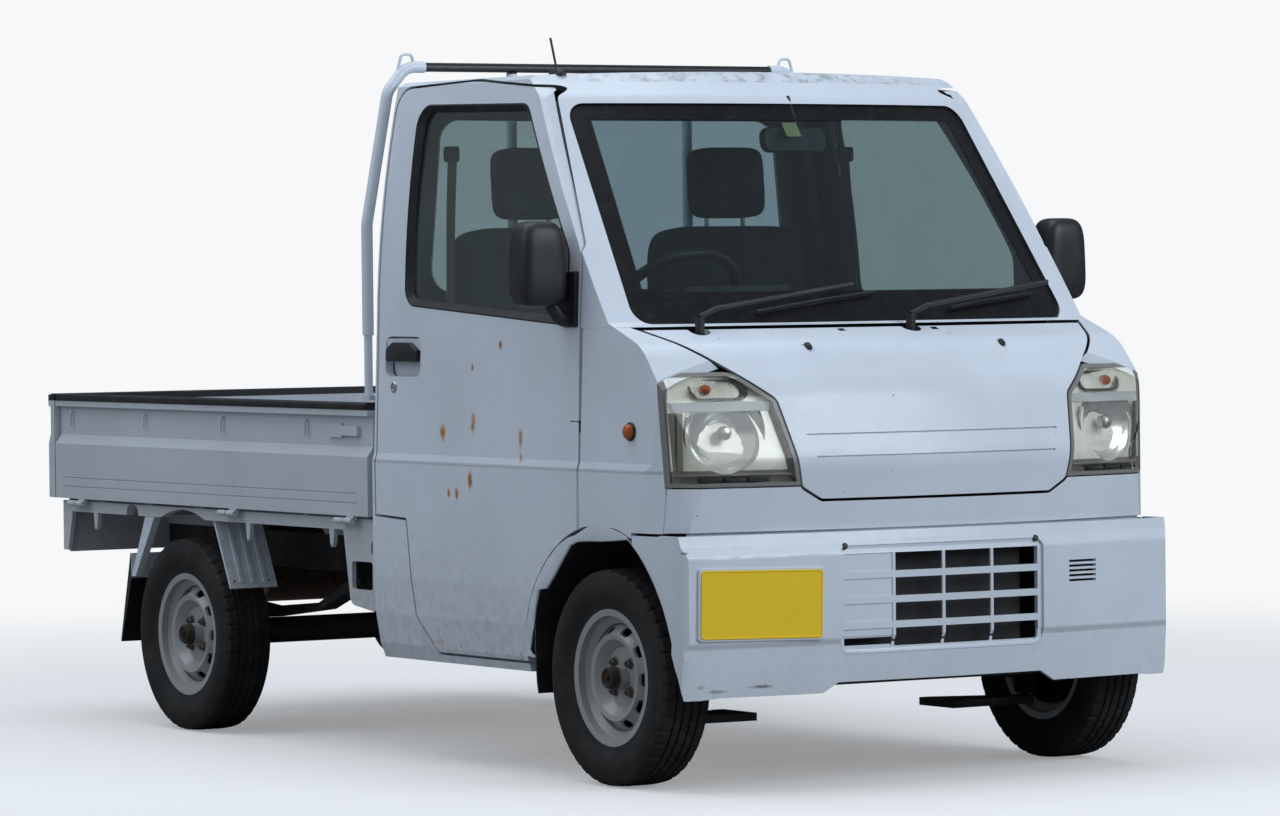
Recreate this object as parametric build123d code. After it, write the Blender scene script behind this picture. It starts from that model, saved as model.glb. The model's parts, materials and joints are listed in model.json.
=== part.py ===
from build123d import *
import os
from math import cos, hypot, radians, sin, tan

# A kei truck: forward-control cab, drop-side bed, guard frame behind the cab.
# Millimetres. X points to the vehicle's left side, the front faces -Y, Z is up.
# The origin is on the ground, half way along the vehicle. Tables give the left
# side where a piece is one of a pair, and the right one is its mirror image.

# Overall sizes
LENGTH = 3395
WIDTH = 1475
WHEELBASE = 2200
FRONT_OVERHANG = 420
FRONT_Y = -LENGTH / 2
REAR_Y = LENGTH / 2
FRONT_AXLE_Y = FRONT_Y + FRONT_OVERHANG
REAR_AXLE_Y = FRONT_AXLE_Y + WHEELBASE
HALF = WIDTH / 2

# Clearances
PANEL_GAP = 7
FRONT_GAP = 8
SEAT = 0.3
PIN_PLAY = 0.4

# Wheels and tyres
TYRE_RADIUS = 267
TYRE_WIDTH = 147
RIM_RADIUS = 171.5
RIM_WIDTH = 112
RIM_WALL = 5
WHEEL_SLOTS = 10
FRONT_TRACK = 1305
REAR_TRACK = 1300

# Cab
CAB_REAR_Y = -172
CAB_WALL = 34
SKIN_WALL = 16
ROOF_WALL = 30
CAB_BOTTOM = 262
BELT_Z = 1125
ROOF_SIDE_Z = 1745
ROOF_Z = 1766
ROOF_SIDE_HALF = 646
FRONT_CURVE = 2800
SCREEN_BASE_Y = -1405
SCREEN_BASE_Z = 1134
SCREEN_TOP_Y = -995
SCREEN_TOP_Z = 1700
SCREEN_LEAN = (SCREEN_TOP_Y - SCREEN_BASE_Y) / (SCREEN_TOP_Z - SCREEN_BASE_Z)
CORNER_RADIUS = 170
CORNER_Y = -1600
CORNER_TANGENT = 12.4
CREASE_Z = 774
CREASE_STEP = 6.5

# Wheel arches
ARCH_RADIUS = 375
ARCH_FLAT_Z = 606
WHEELHOUSE_INNER = 405

# Doors
DOOR_THICK = 34
DOOR_HINGE_INSET = 18
DOOR_HINGE_BACK = 30
DOOR_HINGE_HEIGHTS = (690, 880)
DOOR_EDGE_RADIUS = 6
DOOR_FRONT_Y = -1176
DOOR_REAR_Y = -186
DOOR_BOTTOM_Z = 289

# Bed
BED_FRONT_Y = -150
BED_FLOOR_Z = 650
BED_FLOOR_THICK = 14
GATE_BOTTOM_Z = 626
GATE_TOP_Z = 921
GATE_THICK = 36
GATE_HINGE_Z = 613
GATE_HINGE_OUT = 3.5
WALL_TOP_Z = 930
BED_REAR_Y = 1649
PLATE_HOLES = 210
PLATE_HOLE_RADIUS = 3.3
GATE_BARREL = 8
GATE_PIN = 4
GATE_GROOVES = (660, 685)
GATE_HOOKS = (199, 668, 1121, 1570)
SILL_HOOKS = (86, 546, 1446)
TAIL_BARREL = 6
TAIL_PIN = 3
SIDE_HINGES = (-26, 616, 1517)
TAIL_HINGES = (-480, 480)

# Steering
KINGPIN_HALF = 548


def flat(points, axis, at, radius=0):
    """A closed face on the plane where `axis` has the value `at`."""
    place = {
        "x": lambda a, b: (at, a, b),
        "y": lambda a, b: (a, at, b),
        "z": lambda a, b: (a, b, at),
    }[axis]
    corners = [place(a, b) for a, b in points]
    if isinstance(radius, (int, float)) and radius == 0:
        return make_face(Polyline(*corners, close=True))
    return make_face(FilletPolyline(*corners, radius=radius, close=True))


def prism(points, axis, low, high, radius=0):
    """A straight bar whose section is `points`, from `low` to `high` along `axis`."""
    way = {"x": (1, 0, 0), "y": (0, 1, 0), "z": (0, 0, 1)}[axis]
    face = flat(points, axis, low, radius)
    return Part() + Solid.extrude(face.face(), Vector(*way) * (high - low))


def block(x, y, z):
    """A box between two corners, given as a low and a high value along each axis."""
    size = (x[1] - x[0], y[1] - y[0], z[1] - z[0])
    middle = ((x[0] + x[1]) / 2, (y[0] + y[1]) / 2, (z[0] + z[1]) / 2)
    return Pos(*middle) * Box(*size)


def rod(axis, centre, radius, low, high):
    """A cylinder along `axis`; `centre` gives its other two coordinates."""
    a, b = centre
    middle = (low + high) / 2
    place, turn = {
        "x": ((middle, a, b), Rot(0, 90, 0)),
        "y": ((a, middle, b), Rot(90, 0, 0)),
        "z": ((a, b, middle), Rot(0, 0, 0)),
    }[axis]
    return Pos(*place) * turn * Cylinder(radius, high - low)


def tube(points, radius, bend):
    """A round bar along straight runs joined by arcs of radius `bend`."""
    path = FilletPolyline(*points, radius=bend) if len(points) > 2 else Line(*points)
    start = Plane(origin=path @ 0, z_dir=path % 0)
    return sweep(start * Circle(radius), path=path)


def flip(shape):
    """The same piece on the other side of the vehicle."""
    return mirror(shape, about=Plane.YZ)


def both(shape):
    """A piece and its mirror image, as separate solids of one node."""
    return [shape, flip(shape)]


def save(name, *shapes):
    """Write the solids of one node."""
    solids = []
    for shape in shapes:
        parts = shape if isinstance(shape, (list, tuple)) else [shape]
        for part in parts:
            solids += part.solids()
    export_step(Compound(children=solids), f"parts/{name}.step")


# Cab form: the outer hull that every cab panel is cut from

def side_outline(inset, bottom):
    """Left half of the cab's cross section as (x, z), from the bottom to the roof's middle."""
    return [
        (HALF - 34 - inset, bottom),
        (HALF - 20 - inset, 300),
        (HALF - 6.5 - inset, 380),
        (HALF - inset, 474),
        (HALF - inset, CREASE_Z),
        (HALF - CREASE_STEP - inset, CREASE_Z + 21),
        (HALF - 18.5 - inset, BELT_Z),
    ]


def section_face(inset, roof_inset, bottom):
    """The cab's whole cross section, on the plane Y = 0."""
    side = [(x, 0, z) for x, z in side_outline(inset, bottom)]
    top = (ROOF_SIDE_HALF - inset, 0, ROOF_SIDE_Z - roof_inset)
    bulge = (HALF - 39.5 - inset, 0, 1435)
    edge = (ROOF_SIDE_HALF - 22 - inset, 0, ROOF_SIDE_Z + 11 - roof_inset)
    crown = (0, 0, ROOF_Z - roof_inset)
    left = [Polyline(*side), ThreePointArc(side[-1], bulge, top), Line(top, edge)]
    right = [mirror(edge_line, about=Plane.YZ) for edge_line in left]
    roof = ThreePointArc(edge, crown, (-edge[0], 0, edge[2]))
    floor = Line((-side[0][0], 0, bottom), side[0])
    return make_face(left + [roof] + right + [floor])


def parallel(points, amount):
    """The corners of an outline moved inwards by `amount`, every side staying parallel."""
    count = len(points)
    area = sum(
        points[i - 1][0] * points[i][1] - points[i][0] * points[i - 1][1] for i in range(count)
    )
    turn = 1 if area > 0 else -1
    moved = []
    for i in range(count):
        (ax, ay), (bx, by), (cx, cy) = points[i - 1], points[i], points[(i + 1) % count]
        first, second = hypot(bx - ax, by - ay), hypot(cx - bx, cy - by)
        n1 = (-(by - ay) / first * turn, (bx - ax) / first * turn)
        n2 = (-(cy - by) / second * turn, (cx - bx) / second * turn)
        scale = amount / (1 + n1[0] * n2[0] + n1[1] * n2[1])
        moved.append((bx + (n1[0] + n2[0]) * scale, by + (n1[1] + n2[1]) * scale))
    return moved


def parallel_radii(points, radii, amount):
    """Corner radii that go with `parallel`: less at outer corners, more at inner ones."""
    count = len(points)
    area = sum(
        points[i - 1][0] * points[i][1] - points[i][0] * points[i - 1][1] for i in range(count)
    )
    turned = []
    for i in range(count):
        (ax, ay), (bx, by), (cx, cy) = points[i - 1], points[i], points[(i + 1) % count]
        outer = ((bx - ax) * (cy - by) - (by - ay) * (cx - bx)) * area > 0
        turned.append(0 if radii[i] == 0 else max(radii[i] - amount if outer else radii[i] + amount, 1))
    return turned


def grown(points, radii, amount, axis="x", at=0):
    """The face of an outline, made larger all round by `amount`, or smaller if it is negative."""
    corners = parallel(points, -amount) if amount else points
    bends = parallel_radii(points, radii, -amount) if amount else radii
    return flat(corners, axis, at, bends).face()


def nose_face(inset):
    """The cab's middle profile, from the front panel up the bonnet and screen to the roof."""
    outline = [
        (50, 120),
        (FRONT_Y + 21, 120),
        (FRONT_Y + 21, 640),
        (FRONT_Y + 1, 800),
        (-1640, 975),
        (-1552, 1078),
        (SCREEN_BASE_Y, SCREEN_BASE_Z),
        (SCREEN_TOP_Y, SCREEN_TOP_Z),
        (-900, ROOF_Z + 6),
        (50, ROOF_Z + 6),
    ]
    radii = [0, 0, 60, 130, 200, 150, 12, 70, 120, 0]
    return grown(outline, radii, -inset)


def corner_prism(inset):
    """Rounds the cab's two front corners, between its sides and its nearly flat front."""
    corner = CORNER_Y + inset
    middle = CORNER_Y - HALF * tan(radians(CORNER_TANGENT)) + inset
    side = HALF - inset
    points = [(-side, 400), (-side, corner), (0, middle), (side, corner), (side, 400)]
    radius = CORNER_RADIUS - inset
    return prism(points, "z", 100, 1900, [0, radius, 0, radius, 0])


def cab_form(inset=0, roof_inset=0, bottom=CAB_BOTTOM):
    """The cab's hull, or a smaller one that lies `inset` inside it."""
    rear = CAB_REAR_Y - inset
    section = section_face(inset, roof_inset, bottom).face()
    hull = Part() + Solid.extrude(Pos(0, FRONT_Y - 20, 0) * section, Vector(0, rear - FRONT_Y + 20, 0))
    turn_axis = Axis((0, FRONT_Y + FRONT_CURVE, 0), (0, 0, 1))
    start = nose_face(inset).rotate(turn_axis, -36)
    nose = Part() + Solid.revolve(start, 72, turn_axis)
    hull = hull & nose
    hull = hull & corner_prism(inset)
    return hull


print("cab form")
CAB = cab_form()
CAB_INNER = cab_form(CAB_WALL, ROOF_WALL, 150)
SKIN_INNER = cab_form(SKIN_WALL, ROOF_WALL, 150)
THICK_SHELL = CAB - CAB_INNER
THIN_SHELL = CAB - SKIN_INNER


# Door outline in side view, as (y, z)
def corner_y(z):
    """Where the screen's slope meets the cab side at the height z."""
    sagitta = FRONT_CURVE - (FRONT_CURVE**2 - 700**2) ** 0.5
    return SCREEN_BASE_Y + sagitta + (z - SCREEN_BASE_Z) * SCREEN_LEAN


DOOR_OUTLINE = [
    (-466, DOOR_BOTTOM_Z),
    (-384, 378),
    (-347, 630),
    (DOOR_REAR_Y - 5, 636),
    (DOOR_REAR_Y, BELT_Z),
    (DOOR_REAR_Y, 1737),
    (-560, 1748),
    (corner_y(1722) + 10, 1722),
    (corner_y(1300) + 24, 1300),
    (-1168, 1112),
    (DOOR_FRONT_Y, 700),
    (DOOR_FRONT_Y, 560),
    (-1100, 560),
    (-960, 420),
    (-915, DOOR_BOTTOM_Z),
]
DOOR_INNER_X = ROOF_SIDE_HALF - 46
HINGE_X = HALF - DOOR_HINGE_INSET
HINGE_Y = DOOR_FRONT_Y + DOOR_HINGE_BACK
HINGE_PIN = 4
HINGE_ARM_HALF = 6
DOOR_RADII = [10, 60, 12, 0, 0, 60, 500, 40, 120, 60, 0, 0, 0, 0, 0]
WINDOW_OUTLINE = [
    (-318, 1180),
    (-300, 1693),
    (-840, 1682),
    (-1112, 1310),
    (-1112, 1130),
]
WINDOW_RADII = [50, 55, 50, 60, 30]


def side_cut(points, radii, amount, low, high):
    """A prism through the cab side, from an outline in side view."""
    face = Pos(low, 0, 0) * grown(points, radii, amount)
    return Part() + Solid.extrude(face, Vector(high - low, 0, 0))


def side_band(outer, inner):
    """The cab side's own curved slab between two depths under its skin, on the left."""
    face_out = section_face(outer, outer, CAB_BOTTOM - 80).face()
    face_in = section_face(inner, inner, CAB_BOTTOM - 120).face()
    length = CAB_REAR_Y - FRONT_Y
    slab_out = Part() + Solid.extrude(Pos(0, FRONT_Y, 0) * face_out, Vector(0, length, 0))
    slab_in = Part() + Solid.extrude(Pos(0, FRONT_Y, 0) * face_in, Vector(0, length, 0))
    left = block((300, 800), (FRONT_Y - 10, CAB_REAR_Y + 10), (100, ROOF_SIDE_Z + 3 - outer))
    return (slab_out - slab_in) & left


ARCH_CUT = rod("x", (FRONT_AXLE_Y, TYRE_RADIUS), ARCH_RADIUS, 380, 800)
ARCH_CUT = ARCH_CUT & block((300, 900), (-2000, 0), (-200, 636))


def make_doors():
    """The two cab doors, each as thick as the whole door, with the window cut."""
    print("doors")
    slab = side_band(0, DOOR_THICK) & CAB
    outline = side_cut(DOOR_OUTLINE, DOOR_RADII, 0, DOOR_INNER_X, 800)
    plan = [(300, DOOR_FRONT_Y), (HALF, DOOR_FRONT_Y), (HALF, 0), (300, 0)]
    door = slab & outline & prism(plan, "z", 200, 1900, [0, DOOR_EDGE_RADIUS, 0, 0])
    door -= ARCH_CUT
    door -= side_cut(WINDOW_OUTLINE, WINDOW_RADII, 0, 300, 800)
    recess = side_cut(WINDOW_OUTLINE, WINDOW_RADII, 14, 300, 800) & side_band(12, 22)
    door -= recess
    handle_cup = block((HALF - 42, HALF + 10), (-400, -222), (994, 1097))
    door -= fillet(handle_cup.edges().filter_by(Axis.X), 22)
    grip = prism([(HALF - 36, 1058), (HALF - 22, 1062), (HALF - 18, 1092), (HALF - 36, 1092)], "y", -402, -220)
    door += grip
    x, y = HINGE_X, HINGE_Y
    for z in DOOR_HINGE_HEIGHTS:
        door -= block((x - 30, x + HINGE_ARM_HALF + 2), (DOOR_FRONT_Y - 5, y + 13), (z - 14, z + 14))
        door -= rod("z", (x, y), HINGE_PIN + PIN_PLAY, z - 26, z + 26)
    glass = side_cut(WINDOW_OUTLINE, WINDOW_RADII, 13.5, 300, 800) & side_band(14.5, 19.5)
    save("door_left", door)
    save("door_right", flip(door))
    save("door_glass_left", glass)
    save("door_glass_right", flip(glass))


REAR_WINDOW = [(-560, 1210), (560, 1210), (520, 1660), (-520, 1660)]


def make_cab_frame():
    """Rear wall, pillars, roof rails and sills: what is left between the openings."""
    print("cab frame")
    shell = THICK_SHELL & block((-800, 800), (-1500, 0), (CAB_BOTTOM, 1738))
    shell -= side_cut(DOOR_OUTLINE, DOOR_RADII, PANEL_GAP, -900, 900)
    shell -= prism([(-1800, 100), (DOOR_FRONT_Y, 100), (DOOR_FRONT_Y, 1122), (-1800, 1128)], "x", -900, 900)
    shell -= screen_cut(0)
    shell -= prism(REAR_WINDOW, "y", -400, 0, [60] * 4)
    shell -= ARCH_CUT
    shell -= flip(ARCH_CUT)
    shell -= block((-610, 610), (-400, 0), (200, 606))
    ring = side_band(58, 84) & side_cut(DOOR_OUTLINE, DOOR_RADII, 30, 300, 800)
    ring -= side_cut(DOOR_OUTLINE, DOOR_RADII, -46, 300, 800)
    ring &= cab_form(SKIN_WALL, ROOF_WALL, 150)
    ring -= ARCH_CUT
    x, y = HINGE_X, HINGE_Y
    for z in DOOR_HINGE_HEIGHTS:
        ring += block((x - 54, x), (y - HINGE_ARM_HALF, y + HINGE_ARM_HALF), (z - 8, z + 8))
        ring += rod("z", (x, y), HINGE_PIN, z - 25, z + 25)
    return shell, ring


def screen_cut(grow):
    """The windscreen's opening, swept along its own slope."""
    low = SCREEN_BASE_Z - 4
    lower = 655 + grow
    upper = 600 + grow
    top = 1682 + grow
    points = [(-lower, low - grow), (lower, low - grow), (upper, top), (-upper, top)]
    cut = prism(points, "y", -1600, -700, [40, 40, 50, 50])
    return cut


def make_screens():
    """The windscreen and the rear window, each a curved or flat pane in its rebate."""
    print("screens")
    pane = cab_form(6, 6, 150) - cab_form(11, 11, 150)
    windscreen = pane & screen_cut(-SEAT)
    face = grown(REAR_WINDOW, [60] * 4, -SEAT, "y", 0)
    rear_pane = Part() + Solid.extrude(Pos(0, CAB_REAR_Y - 12, 0) * face, Vector(0, 5, 0))
    save("cab_glass", windscreen, rear_pane)


# Front panels, cut from the thin front skin by outlines in front view, as (x, z)
LAMP_OUTLINE = [(398, 737), (790, 737), (790, 1016), (531, 1017), (439, 947)]
LAMP_RADII = [0, 0, 0, 70, 30]
BONNET_OUTLINE = [
    (-342, 702), (342, 702), (398, 734), (439, 947), (531, 1017), (680, 1126), (680, 1180),
    (-680, 1180), (-680, 1126), (-531, 1017), (-439, 947), (-398, 734),
]
BONNET_RADII = [20, 20, 20, 30, 70, 0, 0, 0, 0, 70, 30, 20]
FENDER_REAR_Y = DOOR_FRONT_Y - FRONT_GAP
FENDER_LIP_Z = 628
LAMP_REAR = [(-1900, 700), (-1549, 700), (-1524, 1040), (-1900, 1040)]
PANEL_REAR = [(-1900, 500), (-1540, 500), (-1540, 629), (-1550, 745), (-1900, 745)]
BONNET_HINGE_Y = -1450
BONNET_HINGE_Z = 1108
BONNET_HINGE_X = 140
BONNET_PIN = 3
BONNET_GROOVES = [(861, 376), (807, 358)]
# Half the width that the lid needs, from the fenders' rear forward, as (in from the side, y)
LID_SWING = [(56, -1300), (77, -1365), (94, -1403), (114, -1447), (134, -1480), (146, -1494), (162, -1510)]
LID_SWING_GAP = 8
LID_SWING_UNDERCUT = 10
WIPER_POSTS = [(-523, -1408), (73, -1456)]


def front_cut(points, radii, grow):
    """A prism through the front, from an outline in front view."""
    face = grown(points, radii, grow, "y", -1800)
    return Part() + Solid.extrude(face, Vector(0, 620, 0))


def lid_swing(gap):
    """The room beside the lid's rear edge, on the left, with a gap to the lid in plan."""
    edge = [(HALF - inward + gap, y) for inward, y in LID_SWING]
    return prism([(0, LID_SWING[0][1])] + edge + [(0, LID_SWING[-1][1])], "z", 1000, 1200)


def make_front():
    """Bonnet, front panel, fenders and headlamps, and the lamps' clear covers."""
    print("front")
    region = prism([(-1800, 200), (FENDER_REAR_Y, 200), (FENDER_REAR_Y, 1121.6), (-1800, 1127.6)], "x", -900, 900)
    skin = THIN_SHELL & region
    half = PANEL_GAP / 2
    notches = []
    for x, y in WIPER_POSTS:
        notches.append(block((x - 26, x + 26), (y - 4, y + 200), (1000, 1200)))
        notches.append(rod("z", (x, y), 26, 1000, 1200))
    bonnet = skin & front_cut(BONNET_OUTLINE, BONNET_RADII, -half)
    bonnet &= block((-800, 800), (-1800, -1330), (600, 1200))
    bonnet -= block((-800, 800), (-1500, -1300), (1116, 1200))
    for notch in notches:
        bonnet -= notch
    x, y, z = BONNET_HINGE_X, BONNET_HINGE_Y, BONNET_HINGE_Z
    for side in (-x, x):
        bonnet -= block((side - 10, side + 10), (y - 20, y + 24), (1000, z + 5.8))
        bonnet -= rod("x", (y, z), BONNET_PIN + PIN_PLAY, side - 16, side + 16)
    lens_skin = CAB - cab_form(4, 4, 150)
    for z, half_length in BONNET_GROOVES:
        bonnet -= lens_skin & block((-half_length, half_length), (-1800, -1500), (z - 2, z + 2))
    save("bonnet", bonnet)

    lamp_rear = prism(LAMP_REAR, "x", 0, 900)
    lamp_hole = front_cut(LAMP_OUTLINE, LAMP_RADII, 0) & lamp_rear
    lens = lens_skin & front_cut(LAMP_OUTLINE, LAMP_RADII, -12) & prism(parallel(LAMP_REAR, 12), "x", 0, 900)
    housing = (CAB - cab_form(70, 70, 150)) & lamp_hole
    housing &= front_cut(LAMP_OUTLINE, LAMP_RADII, -2.3) & block((0, 735), (-1800, -1400), (600, 1200))
    bowl = Pos(578, -1600, 857) * Rot(90, 0, 14) * Cylinder(88, 160)
    lamp_well = front_cut(LAMP_OUTLINE, LAMP_RADII, -12) & prism(parallel(LAMP_REAR, 12), "x", 0, 900)
    housing -= lens_skin & lamp_well
    housing -= (CAB - cab_form(22, 22, 150)) & lamp_well
    housing -= bowl & (CAB - cab_form(55, 55, 150))
    save("headlamps", both(housing))
    save("headlamp_covers", both(lens))

    panel_zone = prism(PANEL_REAR, "x", -900, 900)
    front_panel = skin & panel_zone & block((-800, 800), (-1800, -1400), (630, 745))
    front_panel -= front_cut(BONNET_OUTLINE, BONNET_RADII, half)
    front_panel -= front_cut(LAMP_OUTLINE, LAMP_RADII, 1)
    front_panel -= flip(front_cut(LAMP_OUTLINE, LAMP_RADII, 1))
    shelf = prism([(-1676, 631), (-1555, 631), (-1555, 647), (-1676, 647)], "x", -640, 640) & SKIN_INNER
    front_panel += shelf + block((-300, 300), (-1560, -1500 - SEAT), (631, 647))
    for side in (-1, 1):
        low, high = sorted((side * 500, side * 560))
        front_panel += block((low, high), (-1600, -1575), (640, 739 - SEAT)) & SKIN_INNER
    save("front_panel", front_panel)

    fender = skin & block((20, 800), (-1800, FENDER_REAR_Y), (ARCH_FLAT_Z, 1130))
    fender -= front_cut(BONNET_OUTLINE, BONNET_RADII, half)
    fender -= lid_swing(LID_SWING_GAP)
    fender -= lid_swing(LID_SWING_GAP + LID_SWING_UNDERCUT) - lens_skin
    fender -= prism(parallel(LAMP_REAR, -3), "x", 0, 900)
    fender -= prism(parallel(PANEL_REAR, -2), "x", 0, 900)
    fender -= ARCH_CUT
    fender -= block((0, 800), (-1800, -1422), (500, FENDER_LIP_Z))
    save("fenders", both(fender))


BUMPER_TOP_Z = 624
BUMPER_CURVE = 5000
BUMPER_ARCH = 362
BUMPER_WALL = 14
BUMPER_RECESS = 8
PAD_EDGE = 305
PAD_LOW_Z = 329
PAD_HIGH_Z = 604
GRILLE_HALF = 295
GRILLE_LOW_Z = 333
GRILLE_HIGH_Z = 578
GRILLE_COLUMNS = 4
GRILLE_ROWS = 4
GRILLE_BAR = 17
GRILLE_POST = 8
LOUVRE_SLOTS = 5


def bumper_form(inset):
    """The bumper's hull between its own front curve, its sides and its corner radii."""
    profile = [
        (-1300, 200),
        (FRONT_Y + 20, 200),
        (FRONT_Y + 8, 352),
        (FRONT_Y, 366),
        (FRONT_Y, 572),
        (FRONT_Y + 14, 600),
        (FRONT_Y + 20, BUMPER_TOP_Z),
        (-1300, BUMPER_TOP_Z),
    ]
    face = grown(profile, [0, 0, 10, 10, 20, 20, 0, 0], -inset)
    axis = Axis((0, FRONT_Y + BUMPER_CURVE, 0), (0, 0, 1))
    body = Part() + Solid.revolve(face.rotate(axis, -12), 24, axis)
    front = FRONT_Y + 47
    plan = [(-HALF, -1200), (-HALF, front - 2), (0, front - 114), (HALF, front - 2), (HALF, -1200)]
    face = grown(plan, [0, 60, 0, 60, 0], -inset, "z", 100)
    return body & (Part() + Solid.extrude(face, Vector(0, 0, 700)))


def make_bumper():
    """The front bumper: a thin shell with its grille, louvre and raised lower middle."""
    print("bumper")
    shell = bumper_form(0) - Pos(0, 0, BUMPER_WALL) * bumper_form(BUMPER_WALL)
    shell -= Pos(0, 0, -BUMPER_WALL) * bumper_form(BUMPER_WALL)
    shell &= block((-800, 800), (-1800, -1425), (234, BUMPER_TOP_Z))
    shell -= block((-800, 800), (-1546, -1400), (FENDER_LIP_Z - PANEL_GAP, 800))
    shell -= prism([(-405, 200), (-305, 259), (305, 259), (405, 200)], "y", -1800, -1300)
    arch = rod("x", (FRONT_AXLE_Y, TYRE_RADIUS), BUMPER_ARCH, -900, 900)
    shell -= arch
    # The grille lies back between two raised pads, and its first column is closed
    middle = [(-PAD_EDGE, PAD_LOW_Z), (PAD_EDGE, PAD_LOW_Z), (PAD_EDGE, PAD_HIGH_Z - 14), (-PAD_EDGE, PAD_HIGH_Z - 14)]
    recess = bumper_form(0) - bumper_form(BUMPER_RECESS)
    shell -= recess & prism(middle, "y", -1800, -1600, [22] * 4)
    column = (2 * GRILLE_HALF) / GRILLE_COLUMNS
    row = (GRILLE_HIGH_Z - GRILLE_LOW_Z) / GRILLE_ROWS
    blind = bumper_form(0) - bumper_form(BUMPER_RECESS + 3)
    for i in range(GRILLE_COLUMNS):
        for j in range(GRILLE_ROWS):
            x = -GRILLE_HALF + i * column + GRILLE_POST / 2
            z = GRILLE_LOW_Z + j * row + GRILLE_BAR / 2
            opening = block((x, x + column - GRILLE_POST), (-1800, -1600), (z, z + row - GRILLE_BAR))
            shell -= opening & blind if i == 0 else opening
    for i in range(LOUVRE_SLOTS):
        z = 477 + i * 12
        shell -= block((388, 477), (-1800, -1600), (z, z + 6))
    save("front_bumper", shell)


FLOOR_HALF = 646.5
STEERING_X = -293
STEERING_PLACE = (STEERING_X, -930, 1180)
STEERING_TILT = 45
STEERING_RADIUS = 171
STEERING_RIM = 14


def steering_frame(distance):
    """A plane square to the steering column, `distance` up the column from the wheel's centre."""
    lean = radians(STEERING_TILT)
    way = (0, cos(lean), sin(lean))
    x, y, z = STEERING_PLACE
    origin = (x, y + way[1] * distance, z + way[2] * distance)
    return Plane(origin=origin, x_dir=(1, 0, 0), z_dir=way)


def make_cab_inside():
    """Floor, seat box, firewall and front wheelhouses, then the dashboard and the seats."""
    print("cab inside")
    floor = block((-394, 394), (-1500, -818), (392, 404))
    floor += block((-FLOOR_HALF, FLOOR_HALF), (-893, -806), (392, 404))
    floor += block((-FLOOR_HALF, FLOOR_HALF), (-818, -806), (392, 652))
    floor += block((-FLOOR_HALF, FLOOR_HALF), (-818, -207), (640, 652))
    floor += block((-FLOOR_HALF, FLOOR_HALF), (-219, -207), (475, 652))
    floor += block((-394, 394), (-1500, -1488), (392, 1020))
    floor += block((-520, 520), (-1500, -1488), (660, 1020))
    y, z = BONNET_HINGE_Y, BONNET_HINGE_Z
    arm = [(-1494, 1015), (-1494, 970), (y + 4, 1040), (y + 4, z), (y - 4, z), (y - 4, 1055)]
    for side in (-BONNET_HINGE_X, BONNET_HINGE_X):
        floor += prism(arm, "x", side - 5, side + 5)
        floor += rod("x", (y, z), 5, side - 5, side + 5)
        floor += rod("x", (y, z), BONNET_PIN, side - 15, side + 15)
    for side in (-1, 1):
        low, high = sorted((side * WHEELHOUSE_INNER, side * 394))
        outer_low, outer_high = sorted((side * 394, side * FLOOR_HALF))
        disc = rod("x", (FRONT_AXLE_Y, TYRE_RADIUS), ARCH_RADIUS + 14, low, high)
        ring = rod("x", (FRONT_AXLE_Y, TYRE_RADIUS), ARCH_RADIUS + 14, outer_low, outer_high)
        ring -= rod("x", (FRONT_AXLE_Y, TYRE_RADIUS), ARCH_RADIUS + 2, outer_low - 1, outer_high + 1)
        above = block((-700, 700), (-1700, -800), (392, 800))
        front = block((-700, 700), (-1560, -800), (392, 800))
        floor += disc & above & front
        floor += ring & above & front
    save("cab_floor", floor)

    dash = prism(
        [(-1320, 860), (-1320, 1120), (-1312, 1182), (-1205, 1196), (-1150, 1160), (-1140, 1040),
         (-1155, 900), (-1240, 820)],
        "x", -615, 615, [10, 30, 25, 40, 30, 30, 40, 30],
    )
    hood = prism([(-1250, 1180), (-1235, 1222), (-1150, 1215), (-1140, 1120)], "x", -450, -140, [0, 20, 15, 0])
    brace = block((-540, 540), (-1488 + SEAT, -1310), (940, 970))
    dash = (dash + hood) & (Pos(0, SEAT, 0) * CAB_INNER) & block((-615, 615), (-1400, -1000), (800, 1300))
    dash += brace
    dash -= steering_frame(-300) * Cylinder(39.5, 700)
    column = steering_frame(-40 - SEAT - 170) * Cylinder(39.5 - SEAT, 340)
    column += steering_frame(-450) * Cylinder(18, 160)
    save("dashboard", dash, column)

    seats = []
    for x in (-305, 305):
        cushion = prism([(-700, 652.3), (-700, 740), (-640, 790), (-340, 770), (-330, 652.3)],
                        "x", x - 235, x + 235, [15, 30, 40, 20, 10])
        rest = [(-372, 790), (-300, 1375), (-228, 1375), (-222, 700), (-318, 700)]
        radii = [20, 35, 30, 15, 10]
        back = prism(rest, "x", x - 230, x + 230, radii)
        cushion -= prism(parallel(rest, -SEAT), "x", x - 240, x + 240, radii)
        head = prism([(-322, 1400), (-308, 1580), (-245, 1580), (-240, 1400)], "x", x - 110, x + 110, [25] * 4)
        stays = [rod("z", (x + d, -268), 7, 1370, 1405) for d in (-60, 60)]
        back = back + stays[0] + stays[1] + head
        seats += [cushion, back]
    save("seats", seats)


def make_steering():
    """The steering wheel with its three spokes."""
    print("steering")
    rim = Torus(STEERING_RADIUS, STEERING_RIM)
    hub = Pos(0, 0, -18) * Cylinder(48, 44)
    spokes = [Rot(0, 0, angle) * Pos(100, 0, -8) * Box(150, 26, 12) for angle in (0, 90, 180)]
    wheel = rim + hub + spokes[0] + spokes[1] + spokes[2]
    save("steering_wheel", steering_frame(0) * wheel)


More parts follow.
